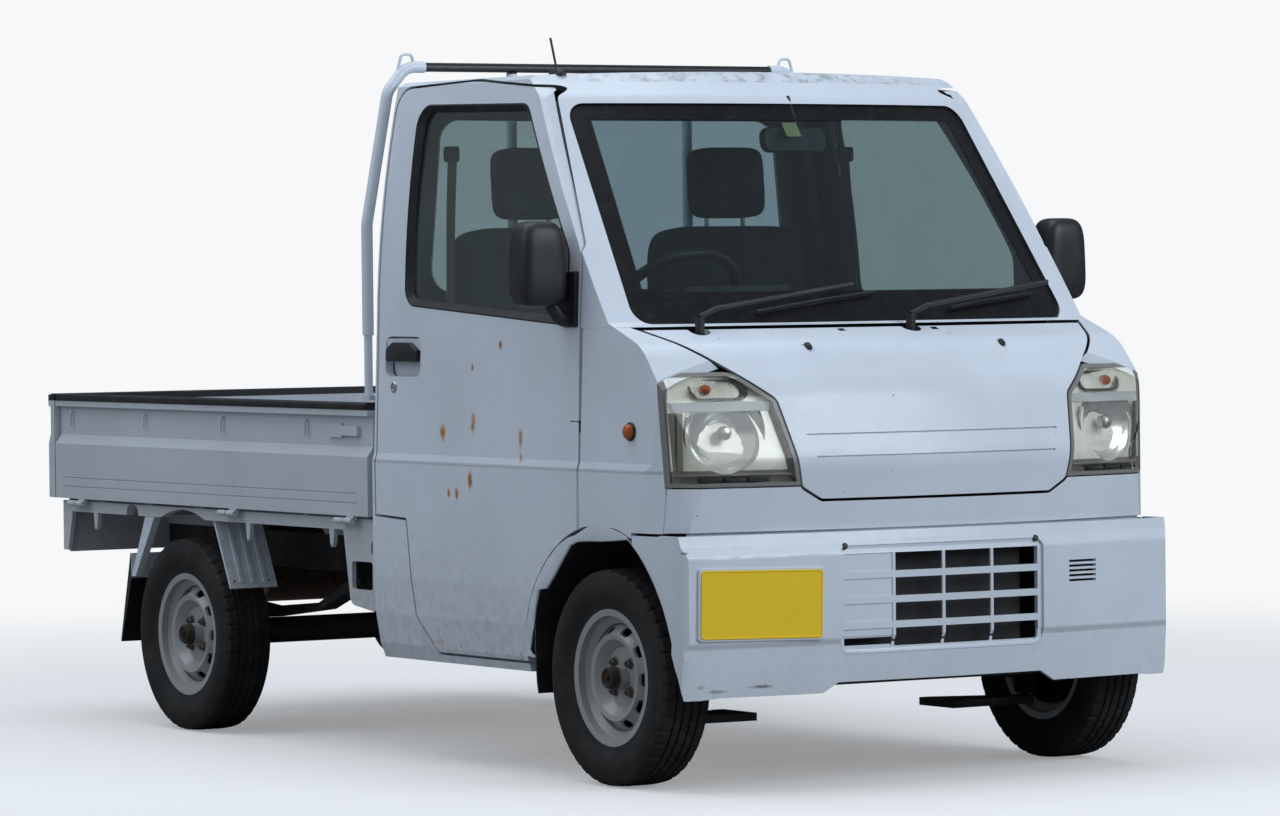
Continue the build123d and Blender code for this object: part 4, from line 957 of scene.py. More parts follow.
@dataclass
class CarriedOver(Fittings):
    """The CAD nodes whose shape stays, each with its finish."""

    # Finish, then the nodes that have it
    table: tuple[tuple[Finish, tuple[str, ...]], ...] = (
        (BODY, ("cab_frame", "fenders", "front_panel", "bonnet")),
        (ROOF_PAINT, ("roof",)),
        (DOOR_LEFT, ("door_left",)),
        (DOOR_RIGHT, ("door_right",)),
        (BUMPER_PAINT, ("front_bumper",)),
        (BED_PAINT_SHADED, ("bed",)),
        (GATE_PAINT_SHADED, ("side_gate_left", "side_gate_right", "tailgate")),
        (GUARD_PAINT, ("guard_frame",)),
        (MUDGUARD, ("mudguards",)),
        (SCREEN, ("cab_glass",)),
        (WINDOW, ("door_glass_left", "door_glass_right")),
        (LENS, ("headlamp_covers",)),
        (BEZEL, ("headlamps",)),
        (GREY, ("dashboard",)),
        (BLACK, ("steering_wheel", "mirror_left", "mirror_right", "wipers", "antenna")),
        (CLOTH, ("seats",)),
        (CHASSIS, ("chassis_frame", "cab_floor", "front_suspension", "rear_axle", "fuel_tank")),
        (IRON, ("engine",)),
        (DRUM, ("knuckle_left", "knuckle_right")),
        (FINS, ("radiator",)),
        (RUSTY, ("exhaust",)),
        (RED, ("tail_lamps",)),
        (WHEEL_SILVER, ("wheel_front_left", "wheel_front_right", "wheel_rear_left", "wheel_rear_right")),
        (TYRE, ("tyre_front_left", "tyre_front_right", "tyre_rear_left", "tyre_rear_right")),
    )

    def build(self) -> None:
        """Give each carried-over node its material."""
        for finish, nodes in self.table:
            for node in nodes:
                self.finishes.put(self.frame["nodes"][node], finish)
        LOG.info("CAD nodes dressed: %d", sum(len(nodes) for _, nodes in self.table))


@dataclass
class Skin:
    """Finds where a straight line meets some CAD nodes, so that fittings lie on them."""

    frame: dict
    nodes: tuple[str, ...]
    tree: BVHTree = field(init=False)

    def __post_init__(self) -> None:
        """Gather the nodes' faces."""
        verts: list[Vector] = []
        faces: list[list[int]] = []
        for node in self.nodes:
            mesh = self.frame["nodes"][node].data
            base = len(verts)
            verts += [v.co.copy() for v in mesh.vertices]
            faces += [[base + i for i in p.vertices] for p in mesh.polygons]
        self.tree = BVHTree.FromPolygons(verts, faces)

    def hit(self, start: Point, way: Point) -> tuple[Vector, Vector]:
        """Where a line from `start` meets the skin.

        Args:
            start: the line's start, in millimetres.
            way: its direction.

        Returns:
            The place in millimetres, and the outward normal.
        """
        place, normal, _, _ = self.tree.ray_cast(vec(start), Vector(way))
        if place is None:
            raise ValueError(f"{self.nodes} aren't met from {start}")
        if normal.dot(Vector(way)) > 0:
            normal = -normal
        return place / MM, normal

    def beside(self, side: Side, y: float, z: float) -> tuple[Vector, Vector]:
        """Where the skin is met from beside the vehicle, and its outward normal."""
        return self.hit((side.value * BESIDE, y, z), (-side.value, 0, 0))

    def ahead(self, x: float, z: float) -> tuple[Vector, Vector]:
        """Where the skin is met from ahead of the vehicle, and its outward normal."""
        return self.hit((x, AHEAD, z), (0, 1, 0))

    def above(self, x: float, y: float) -> tuple[Vector, Vector]:
        """Where the skin is met from above the vehicle, and its outward normal."""
        return self.hit((x, y, ABOVE), (0, 0, -1))

    def front(self, x: float, z: float, towards: Flat) -> float:
        """Y of the skin seen from ahead at x and z, or at the first place towards another that it has."""
        steps = 60
        for i in range(steps):
            share = i / steps
            start = (x + (towards[0] - x) * share, AHEAD, z + (towards[1] - z) * share)
            place, _, _, _ = self.tree.ray_cast(vec(start), Vector((0, 1, 0)))
            if place is not None:
                return place.y / MM
        raise ValueError(f"{self.nodes} aren't met near {x}, {z}")


def stand(point: Vector, normal: Vector, up: Point = (0, 0, 1)) -> Matrix:
    """The matrix that lays a piece modelled face up, its top towards +Y, on a place of the skin."""
    z = normal.normalized()
    x = Vector(up).cross(z).normalized()
    y = z.cross(x)
    return Matrix.Translation(point * MM) @ Matrix((x, y, z)).transposed().to_4x4()


def loft(name: str, rings: Sequence[Sequence[Sequence[float]]], start: bool = True,
         end: bool = True, closed: bool = False) -> Piece:
    """A skin through rings of points, each as many, with its ends closed where asked."""
    count = len(rings[0])
    verts = [p for ring in rings for p in ring]
    faces: list[tuple[int, ...]] = []
    for i in range(len(rings) if closed else len(rings) - 1):
        j = (i + 1) % len(rings)
        for k in range(count):
            m = (k + 1) % count
            faces.append((i * count + k, i * count + m, j * count + m, j * count + k))
    if start and not closed:
        faces.append(tuple(range(count)))
    if end and not closed:
        last = (len(rings) - 1) * count
        faces.append(tuple(range(last, last + count)))
    return mesh_object(name, verts, faces)


def oblong(width: float, height: float, radius: float, at: float, steps: int = 6) -> list[Point]:
    """A rounded oblong about the origin at a height, as a ring for `loft`."""
    a, b = width / 2, height / 2
    radius = min(radius, a, b)
    shape = outline([(-a, -b), (a, -b), (a, b), (-a, b)], [radius] * 4, steps)
    return [(x, y, at) for x, y in shape]


def stack(name: str, rows: Rows) -> Piece:
    """A piece lofted through rounded oblongs, each given as width, height, corner radius and place."""
    return loft(name, [oblong(*row) for row in rows])


def kneaded(name: str, cuts: int, place: Callable[[Vector], Vector]) -> Piece:
    """A finely divided cube, reshaped.

    Args:
        name: the piece's name.
        cuts: how finely each side is divided.
        place: where each of the cube's points, from -1 to 1, goes in millimetres.

    Returns:
        The new object.
    """
    mesh = bpy.data.meshes.new(name)
    bm = bmesh.new()
    bmesh.ops.create_cube(bm, size=2)
    bmesh.ops.subdivide_edges(bm, edges=bm.edges, cuts=cuts, use_grid_fill=True)
    for vert in bm.verts:
        vert.co = place(vert.co) * MM
    bm.to_mesh(mesh)
    bm.free()
    obj = bpy.data.objects.new(name, mesh)
    bpy.context.scene.collection.objects.link(obj)
    shade(obj, 60)
    return obj


def pebble(name: str, centre: Point, size: Point, power: float) -> Piece:
    """A block with fully rounded sides: an egg where `power` is 2, and squarer the higher it is."""
    def place(point: Vector) -> Vector:
        """A point of the cube, drawn in to the rounded block."""
        length = sum(abs(c) ** power for c in point) ** (1 / power)
        return Vector([c + p * k / length / 2 for c, p, k in zip(centre, point, size)])

    return kneaded(name, 23, place)


def ride_all(pieces: Sequence[Piece], body: str) -> None:
    """Put pieces on a body, and report them."""
    for piece in pieces:
        piece.name = piece.name.replace(" ", "_")
        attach(piece, body)
        LOG.info("%s on %s", piece.name, body)


@dataclass
class FrontTrim(Fittings):
    """What is fixed to the bumper and the bonnet: plate, grille frame, filler, screws and nozzles."""

    plate_size: Flat = (330, 165)
    plate_x: Flat = (-690, -361)
    plate_z: float = 457
    plate_roll: float = 1.1
    # Screws: X and Z of each
    screws: tuple[Flat, ...] = ((-287, 590), (287, 590))
    screw_profile: Profile = ((-6, 0), (-6, 8), (0, 8), (2.5, 6.5), (3.4, 3), (2.4, 0))
    nozzles: tuple[float, ...] = (-292, 292)
    nozzle_rows: Rows = ((15, 26, 7.5, 0), (15, 26, 7.5, 4), (11, 20, 5.5, 7.5), (4, 8, 2, 9))
    nozzle_y: float = -1537
    # Grille's opening: half width, foot and top, and the corners' radius
    grille_half: float = 294
    grille_z: Flat = (334, 583)
    grille_radius: float = 14
    grille_top: float = 600
    grille_lean: float = 0.014
    # Frame's section: how far out of the opening, and how deep
    frame_section: Profile = ((9, 0.2), (7, -1.2), (1, -1.2), (-3, 0.8), (-3, 9.0), (9, 9.0))
    filler_z: Flat = (598, 629)

    def build(self) -> None:
        """Make the front's small pieces."""
        skin = Skin(self.frame, ("front_bumper",))
        self._plate(skin)
        self._surround(skin)
        self._screws(skin)
        self._nozzles()

    def _plate(self, skin: Skin) -> None:
        """The blank number plate on its pad, laid along the bumper."""
        left, right = (skin.ahead(x, self.plate_z)[0] for x in self.plate_x)
        normal = (right - left).normalized().cross(Vector((0, 0, 1))).normalized()
        middle = (left + right) / 2
        lift = 0.0
        for i in range(9):
            for z in (-70, 0, 70):
                spot, _ = skin.ahead(self.plate_x[0] + i * 41, self.plate_z + z)
                lift = max(lift, (spot - middle).dot(normal))
        roll = Matrix.Rotation(-math.radians(self.plate_roll), 4, "Z")
        place = stand(middle + normal * (lift + 1), normal) @ roll
        w, h = self.plate_size
        pad = stack("plate pad", ((w + 14, h + 14, 12, -22), (w + 14, h + 14, 12, 0),
                                  (w + 8, h + 8, 10, 3)))
        plate = stack("number plate", ((w, h, 9, 3.2), (w, h, 9, 5.0), (w - 1.6, h - 1.6, 8, 5.8),
                                       (w - 7, h - 7, 6, 5.8), (w - 10, h - 10, 5, 4.4)))
        ride_all([placed(self.finishes.put(pad, WHITE_PLASTIC), place)], "chassis")
        ride_all([placed(self.finishes.put(plate, PLATE), place)], "chassis")

    def _screws(self, skin: Skin) -> None:
        """The two black screws over the grille."""
        heads = []
        for x, z in self.screws:
            spot, way = skin.ahead(x, z)
            heads.append(placed(turned("screw", self.screw_profile, "z", 24), stand(spot, way)))
        screws = self.finishes.put(join("grille screws", heads), BLACK)
        ride_all([screws], "chassis")

    def _nozzles(self) -> None:
        """The two washer nozzles on the bonnet."""
        lid = Skin(self.frame, ("bonnet",))
        drops = []
        for x in self.nozzles:
            spot, way = lid.above(x, self.nozzle_y)
            drops.append(placed(stack("nozzle", self.nozzle_rows), stand(spot, way, (0, 1, 0))))
        nozzles = self.finishes.put(join("washer nozzles", drops), BLACK)
        ride_all([nozzles], "bonnet")

    def _surround(self, skin: Skin) -> None:
        """The grille's frame, and the filler behind the gap over the bumper."""
        rings = []
        parts: list[int] = []
        for grow, lift in self.frame_section:
            half, low, high = self.grille_half + grow, self.grille_z[0] - grow, self.grille_z[1] + grow
            shape = outline([(-half, low), (half, low), (half, high), (-half, high)],
                            [self.grille_radius] * 4, 5)
            ends = list(zip(shape, shape[1:] + shape[:1]))
            parts = parts or [max(1, round(math.dist(a, b) / 40)) for a, b in ends]
            ring = []
            for (a, b), count in zip(ends, parts):
                for k in range(count):
                    x, z = (p + (q - p) * k / count for p, q in zip(a, b))
                    top = skin.front(x, self.grille_top, (0, self.grille_top))
                    ring.append((x, top - (self.grille_top - z) * self.grille_lean + lift, z))
            rings.append(ring)
        frame = self.finishes.put(loft("grille frame", rings, closed=True), BUMPER_PAINT)
        panel = Skin(self.frame, ("front_panel",))
        low, high = self.filler_z
        strip = []
        for i in range(41):
            x = -680 + 34 * i
            y = panel.front(x, 640, (0, 640)) + 9
            strip.append([(x, y, low), (x, y, high), (x, y + 4, high), (x, y + 4, low)])
        filler = self.finishes.put(loft("bumper filler", strip), BUMPER_PAINT)
        ride_all([frame, filler], "chassis")


@dataclass
class HeadLamps(Fittings):
    """The lamps' insides: bowl, bulb cap, indicator, divider, ribs and lower slots."""

    bowl_centre: Flat = (580, 868)
    bowl_radius: float = 99
    bowl_depth: float = 44
    bowl_behind: float = 24
    turn_out: float = 14
    divider_z: Flat = (920, 943)
    middle: Flat = (590, 870)
    cap_profile: Profile = ((-18, 0), (-18, 15), (2, 17), (9, 13), (12, 6), (13, 0))
    bulb_profile: Profile = ((-14, 0), (-14, 11), (2, 13), (11, 10), (16, 5), (17, 0))
    bulb_at: Flat = (608, 972)
    bulb_behind: float = 20
    oval_at: Flat = (574, 972)
    oval_size: Flat = (140, 46)
    # Oval bowl's rings: share of the whole size, and depth behind the lens
    oval_rings: Profile = ((1.06, 13), (1.0, 15), (0.86, 25), (0.6, 31), (0.3, 34), (0.05, 35))
    # Bars: X range, middle and whole height, and depth behind the lens
    strips: tuple[tuple[Flat, float, float, float], ...] = (
        ((696, 708), 848, 140, 15), ((682, 692), 848, 140, 17), ((417, 708), 768, 5, 12))
    slots: tuple[float, ...] = (481, 541, 601)
    ribs: int = 19
    first_rib: float = 545
    rib_pitch: float = 8.4
    rib_z: tuple[float, ...] = (936, 950, 970, 990, 999)

    def build(self) -> None:
        """Make both lamps' insides."""
        skin = Skin(self.frame, ("headlamp_covers",))
        for side in Side:
            for name, finish, piece in self._pieces(skin):
                if side is Side.RIGHT:
                    piece = mirrored(piece, f"{name} right")
                    bpy.data.objects.remove(bpy.data.objects[f"{name} left"])
                self.finishes.put(piece, finish)
                ride_all([piece], "chassis")

    def _pieces(self, skin: Skin) -> list[tuple[str, Finish, Piece]]:
        """One left lamp's pieces, each with its name and finish."""
        rings = []
        for i in range(17):
            r = self.bowl_radius * i / 16
            step = 1.2 * math.cos(r * 0.42)
            rings.append((step - self.bowl_depth * (1 - (r / self.bowl_radius) ** 2), r))
        rings += [(2.5, self.bowl_radius + 3), (-2, self.bowl_radius + 6)]
        bowl = turned("lamp bowl left", rings, "z", 96)
        cap = turned("bulb cap left", self.cap_profile, "z", 40)
        turn = math.radians(self.turn_out)
        facing = Vector((math.sin(turn), -math.cos(turn), 0))
        x, z = self.bowl_centre
        centre = Vector((x, skin.front(x, z, self.middle), z))
        place = stand(centre - facing * self.bowl_behind, facing)
        placed(bowl, place)
        placed(cap, place)
        low, high = self.divider_z
        top, axis = low * MM, vec(centre)
        for vert in bowl.data.vertices:
            if vert.co.z > top:
                share = (top - axis.z) / (vert.co.z - axis.z)
                vert.co.x = axis.x + (vert.co.x - axis.x) * share
                vert.co.z = top
        divider = self._bar(skin, "lamp divider left", (450, 708), (low + high) / 2, high - low, 16)
        strip = join("lamp side strips left", [self._bar(skin, "strip", *bar) for bar in self.strips])
        slots = join("lamp slots left", [
            self._bar(skin, "slot", (a, a + 53), 757, 10, 5) for a in self.slots])
        shell = self._oval(skin, "indicator bowl left")
        x, z = self.bulb_at
        spot = Vector((x, skin.front(x, z, self.middle), z))
        bulb = turned("indicator bulb left", self.bulb_profile, "z", 32)
        placed(bulb, stand(spot - facing * self.bulb_behind, facing))
        ribs = []
        for i in range(self.ribs):
            x = self.first_rib + i * self.rib_pitch
            line = [(x, skin.front(x, z, self.middle) + 6.5, z) for z in self.rib_z]
            ribs.append(pipe("rib", line, 1.3, 8))
        ribs = join("lens ribs left", ribs)
        return [("lamp bowl", CHROME, bowl), ("bulb cap", STEEL, cap),
                ("lamp divider", WHITE_PLASTIC, divider), ("lamp side strips", BEIGE, strip),
                ("lamp slots", BLACK, slots), ("indicator bowl", BOWL_GREY, shell),
                ("indicator bulb", AMBER, bulb), ("lens ribs", LENS, ribs)]

    def _bar(self, skin: Skin, name: str, across: Flat, z: float, height: float,
             behind: float) -> Piece:
        """A level bar that follows the lens across the lamp, some way behind it."""
        rings = []
        steps = 14
        for i in range(steps + 1):
            x = across[0] + (across[1] - across[0]) * i / steps
            y = skin.front(x, z, self.middle) + behind
            h = height / 2
            rings.append([(x, y, z - h), (x, y, z + h), (x, y + 12, z + h), (x, y + 12, z - h)])
        return bevel(loft(name, rings), 1.2, 2)

    def _oval(self, skin: Skin, name: str) -> Piece:
        """The indicator's shallow oval bowl behind the lens."""
        cx, cz = self.oval_at
        a, b = self.oval_size[0] / 2, self.oval_size[1] / 2
        shape = outline([(-a, -b), (a, -b), (a, b), (-a, b)], [22] * 4, 8)
        rings = []
        for share, deep in self.oval_rings:
            ring = [(cx + x * share, cz + z * share) for x, z in shape]
            rings.append([(x, skin.front(x, z, self.middle) + deep, z) for x, z in ring])
        return loft(name, rings, start=False)


@dataclass
class DoorTrim(Fittings):
    """What each door carries: window seal, handle, key barrel and mirror glass."""

    window: Profile = ((-318, 1180), (-300, 1693), (-840, 1682), (-1112, 1310), (-1112, 1130))
    window_radii: tuple[float, ...] = (50, 55, 50, 60, 30)
    grip_at: Point = (722, -306, 1057)
    # Handle: half the middle's width, half its height and half the top's width
    grip_size: Point = (79, 25, 46)
    # Handle's rings: share of the whole size, and height
    grip_rings: Profile = ((0.94, -14), (1.0, -5), (1.0, 2), (0.95, 5.5), (0.80, 7.2))
    key_at: Flat = (-268, 966)
    key_profile: Profile = ((-4, 0), (-4, 15), (1, 15), (3.5, 12), (3.5, 9), (1.8, 8.5), (2.4, 7), (2.6, 0))
    mirror_at: Point = (799, -1100, 1280)
    mirror_size: Point = (116, 104, 212)
    mirror_back: float = -1064
    bracket: Profile = ((-1161, 1124), (-1092, 1124), (-1088, 1162), (-1120, 1262), (-1161, 1262))
    bracket_radii: tuple[float, ...] = (6, 8, 14, 14, 6)
    neck: tuple[Point, ...] = (
        (722, -1122, 1142), (746, -1122, 1146), (762, -1112, 1176), (768, -1104, 1205))
    glass_rows: Rows = ((88, 182, 26, 0), (88, 182, 26, 1.4), (84, 178, 24, 2))

    def build(self) -> None:
        """Make both doors' trim."""
        for side in Side:
            self._seal(side)
            self._handle(side)
            self._mirror(side)

    def _seal(self, side: Side) -> None:
        """The black seal round the window, from the door's edge down to the glass."""
        door = Skin(self.frame, (f"door_{side.word}",))
        glass = Skin(self.frame, (f"door_glass_{side.word}",))
        ring_out, ring_edge, ring_in = [], [], []
        shape = outline(self.window, self.window_radii, 8)
        fine = []
        for i, a in enumerate(shape):
            b = shape[(i + 1) % len(shape)]
            length = math.dist(a, b)
            parts = max(1, round(length / 30))
            fine += [tuple(p + (q - p) * k / parts for p, q in zip(a, b)) for k in range(parts)]
        middle = Vector((sum(p[0] for p in fine) / len(fine), sum(p[1] for p in fine) / len(fine)))
        s = side.value
        for i, (y, z) in enumerate(fine):
            before, after = Vector(fine[i - 1]), Vector(fine[(i + 1) % len(fine)])
            along = (after - before).normalized()
            inward = Vector((along.y, -along.x))
            if inward.dot(middle - Vector((y, z))) < 0:
                inward = -inward
            edge = Vector((y, z)) - inward * 3
            skin, _ = door.beside(side, edge.x, edge.y)
            inner = Vector((y, z)) + inward * 17
            pane, _ = glass.beside(side, inner.x, inner.y)
            ring_out.append((skin.x + s * 0.2, edge.x, edge.y))
            ring_edge.append((skin.x + s * 1.8, y + inward.x, z + inward.y))
            ring_in.append((pane.x + s, inner.x, inner.y))
        lip = [(x - s * 4, y, z) for x, y, z in ring_in]
        seal = loft(f"window seal {side.word}", [ring_out, ring_edge, ring_in, lip], start=False, end=False)
        mod = seal.modifiers.new("wall", "SOLIDIFY")
        mod.thickness = 0.0012
        apply(seal)
        shade(seal)
        self.finishes.put(seal, RUBBER)
        ride_all([seal], f"door_{side.word}")

    def _handle(self, side: Side) -> None:
        """The black pull in its cup, and the key barrel below it."""
        skin = Skin(self.frame, (f"door_{side.word}",))
        s = side.value
        rings = []
        for share, high in self.grip_rings:
            half, foot, top = (length * share for length in self.grip_size)
            shape = outline([(-half, -foot), (half, -foot), (half, 6),
                             (top, foot), (-top, foot), (-half, 6)],
                            [7, 7, 8, 8, 8, 8], 4)
            rings.append([(x, y, high) for x, y in shape])
        x, y, z = self.grip_at
        grip = loft(f"door handle {side.word}", rings)
        placed(grip, stand(Vector((s * x, y, z)), Vector((s, 0, 0.03))))
        key = turned(f"key barrel {side.word}", self.key_profile, "z", 40)
        spot, way = skin.beside(side, *self.key_at)
        placed(key, stand(spot, way))
        self.finishes.put(grip, BLACK)
        self.finishes.put(key, STEEL)
        ride_all([grip], f"door_{side.word}")
        ride_all([key], f"door_{side.word}")

    def _mirror(self, side: Side) -> None:
        """The mirror: bracket on the window's corner, neck, rounded head and glass."""
        s = side.value
        x, y, z = self.mirror_at
        head = pebble(f"mirror head {side.word}", (s * x, y, z), self.mirror_size, 4.2)
        for vert in head.data.vertices:
            rise = (vert.co.z / MM - z) / (self.mirror_size[2] / 2)
            vert.co.x += s * 7 * MM * (rise - 1) * (1 if abs(vert.co.x) / MM < x else -0.6)
            vert.co.y = min(vert.co.y, self.mirror_back * MM)
        corner = outline(self.bracket, self.bracket_radii, 5)
        bracket = slab("bracket", corner, "x", *sorted((s * 712, s * 727)), 3)
        neck = pipe("neck", [(s * a, b, c) for a, b, c in self.neck], 19, 24, 26)
        arm = join(f"mirror arm {side.word}", [bracket, neck])
        glass = stack(f"mirror glass {side.word}", self.glass_rows)
        placed(glass, stand(Vector((s * x, self.mirror_back, z)), Vector((0, 1, 0))))
        for piece in (head, arm):
            self.finishes.put(piece, BLACK)
        self.finishes.put(glass, CHROME)
        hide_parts(f"mirror_{side.word}")
        ride_all([head, arm], f"door_{side.word}")
        ride_all([glass], f"door_{side.word}")


@dataclass
class SideMarkers(Fittings):
    """The small round indicators on the flanks ahead of the doors."""

    place: Flat = (-1412, 872)
    base_profile: Profile = ((-3, 0), (-3, 23), (3, 23), (6, 21), (6, 18.5), (3, 18))
    lens_profile: Profile = ((2, 19), (8, 18.6), (14, 16), (18, 11), (20, 0))

    def build(self) -> None:
        """Make both markers."""
        skin = Skin(self.frame, ("fenders",))
        for side in Side:
            at = stand(*skin.beside(side, *self.place))
            base = turned(f"side marker base {side.word}", self.base_profile, "z", 48)
            lens = turned(f"side marker {side.word}", self.lens_profile, "z", 48)
            placed(self.finishes.put(base, BLACK), at)
            placed(self.finishes.put(lens, AMBER), at)
            ride_all([base], "chassis")
            ride_all([lens], "chassis")


@dataclass
class ArchTrim(Fittings):
    """The front wheel arches: painted lip, black lining with its flap, and the bumper's lower corner."""

    axle: Flat = (-1277.5, 267)
    cut: float = 372
    bumper_cut: float = 366
    # Where the flank is measured: radius about the axle, and the lowest place
    beyond: float = 381
    lowest: float = 330
    # Bumper: how far out its flank lies, where it starts to bend in, and how fast
    flank_x: float = 737.8
    bend_from: float = -1600
    bend: float = 0.0087
    lining_depth: float = 92
    lining_x: float = 731
    flap_x: float = 716
    flap_top: float = 318
    upright_below: float = 380
    corner_lean: float = 0.083
    # Where the opening door's corner passes: angle, half width in radians, and how far the lip gives way
    hinge_room: tuple[float, float, float] = (1.262, 0.15, 8.0)
    # Inner edge of the lip and of the bumper's edge: Y and Z from the rear foot forward
    lip: Profile = (
        (-944, 300), (-945, 320), (-952, 345), (-958, 372), (-970, 425), (-990, 472), (-1026, 476),
        (-1065, 512), (-1105, 553), (-1141, 587), (-1172, 597), (-1225, 600), (-1277, 601), (-1330, 604),
        (-1370, 607), (-1402, 610))
    bumper: Profile = (
        (-1402, 610), (-1425, 595), (-1451, 576), (-1475, 555), (-1499, 530), (-1520, 506), (-1540, 478),
        (-1558, 450), (-1574, 419), (-1590, 382), (-1605, 342))
    flap: Profile = ((-955, 211), (-949, 240), (-946, 275), (-945, 305))
    # Corner: X, Y, top and foot heights, and how far inwards X and Y go for its wall
    corner: tuple[tuple[float, float, float, float, float, float], ...] = (
        (632, -1641.0, 242, 233, 0, 4), (650, -1640.4, 268, 232, 0, 4), (665, -1640.2, 292, 231, 0, 4),
        (680, -1639.4, 304, 230, 0, 4), (695, -1638.4, 316, 230, 0, 4), (705, -1637.6, 322, 230, 0, 4),
        (715, -1636.6, 334, 230, 0, 4), (722.5, -1635.4, 342, 230, 2, 3), (728.5, -1633.6, 352, 250, 3, 2),
        (733, -1625.0, 386, 286, 4, 1), (736.3, -1615.0, 416, 314, 4, 0), (737.9, -1605.0, 434, 342, 4, 0))

    def build(self) -> None:
        """Make both arches' pieces."""
        for side in Side:
            skin = Skin(self.frame, ("fenders", f"door_{side.word}", "cab_frame"))
            lip = self._band(f"arch lip {side.word}", side, self.lip, self.cut, skin)
            edge = self._band(f"bumper edge {side.word}", side, self.bumper, self.bumper_cut, None)
            for piece, finish in ((lip, BODY), (edge, BUMPER_PAINT), (self._corner(side), BUMPER_PAINT)):
                ride_all([self.finishes.put(piece, finish)], "chassis")
            ride_all([self.finishes.put(self._lining(side), RUBBER)], "chassis")

    def _flank(self, skin: Skin, side: Side, angle: float) -> float:
        """How far out the flank lies just outside the arch, at an angle about the axle."""
        reach = 0.0
        for step in (-0.03, 0.0, 0.03):
            y = self.axle[0] + self.beyond * math.cos(angle + step)
            z = max(self.axle[1] + self.beyond * math.sin(angle + step), self.lowest)
            reach = max(reach, abs(skin.beside(side, y, z)[0].x))
        return reach

    def _band(self, name: str, side: Side, inner: Sequence[Flat], cut: float,
              skin: Optional[Skin]) -> Piece:
        """A painted band between an inner edge and a circle about the axle, flush with the flank."""
        rings = []
        for y, z in inner:
            way = Vector((y - self.axle[0], z - self.axle[1]))
            near, angle = way.length, math.atan2(way.y, way.x)
            out = self._flank(skin, side, angle) - 0.3 if skin else self.flank_x
            middle, half, depth = self.hinge_room
            edge = cut - (depth * max(0.0, 1 - abs(angle - middle) / half) if skin else 0.0)
            ring = []
            for deep, r in ((0, edge), (0, near + 4), (1.2, near + 1.2), (3, near), (6, near),
                            (6, near + 2.5), (4, near + 4), (4, edge)):
                place = self.axle[0] + r * math.cos(angle)
                turn = self.bend * max(0.0, self.bend_from - place) ** 2
                ring.append((side.value * (out - deep - turn), place, self.axle[1] + r * math.sin(angle)))
            rings.append(ring)
        return loft(name, rings)

    def _lining(self, side: Side) -> Piece:
        """The black lining behind the lip, hanging down as a flap behind the wheel."""
        rings = []
        for y, z in self.flap + self.lip:
            way = Vector((y - self.axle[0], z - self.axle[1])).normalized()
            if z < self.upright_below:
                way = Vector((1, 0))
            out = self.flap_x if z < self.flap_top else self.lining_x
            inner = out - self.lining_depth
            rings.append([(side.value * x, y + way.x * lift, z + way.y * lift)
                          for x, lift in ((out, 0), (inner, 0), (inner, 5), (out, 5))])
        return loft(f"arch lining {side.word}", rings)

    def _corner(self, side: Side) -> Piece:
        """The bumper's lower corner, down to where the arch meets its foot."""
        s = side.value
        rings = []
        for x, y, top, foot, dx, dy in self.corner:
            back = y + (top - foot) * self.corner_lean
            rings.append([(s * x, y - 0.3, top), (s * x, back, foot),
                          (s * (x - dx), back + dy, foot), (s * (x - dx), y + dy, top)])
        return loft(f"bumper corner {side.word}", rings)


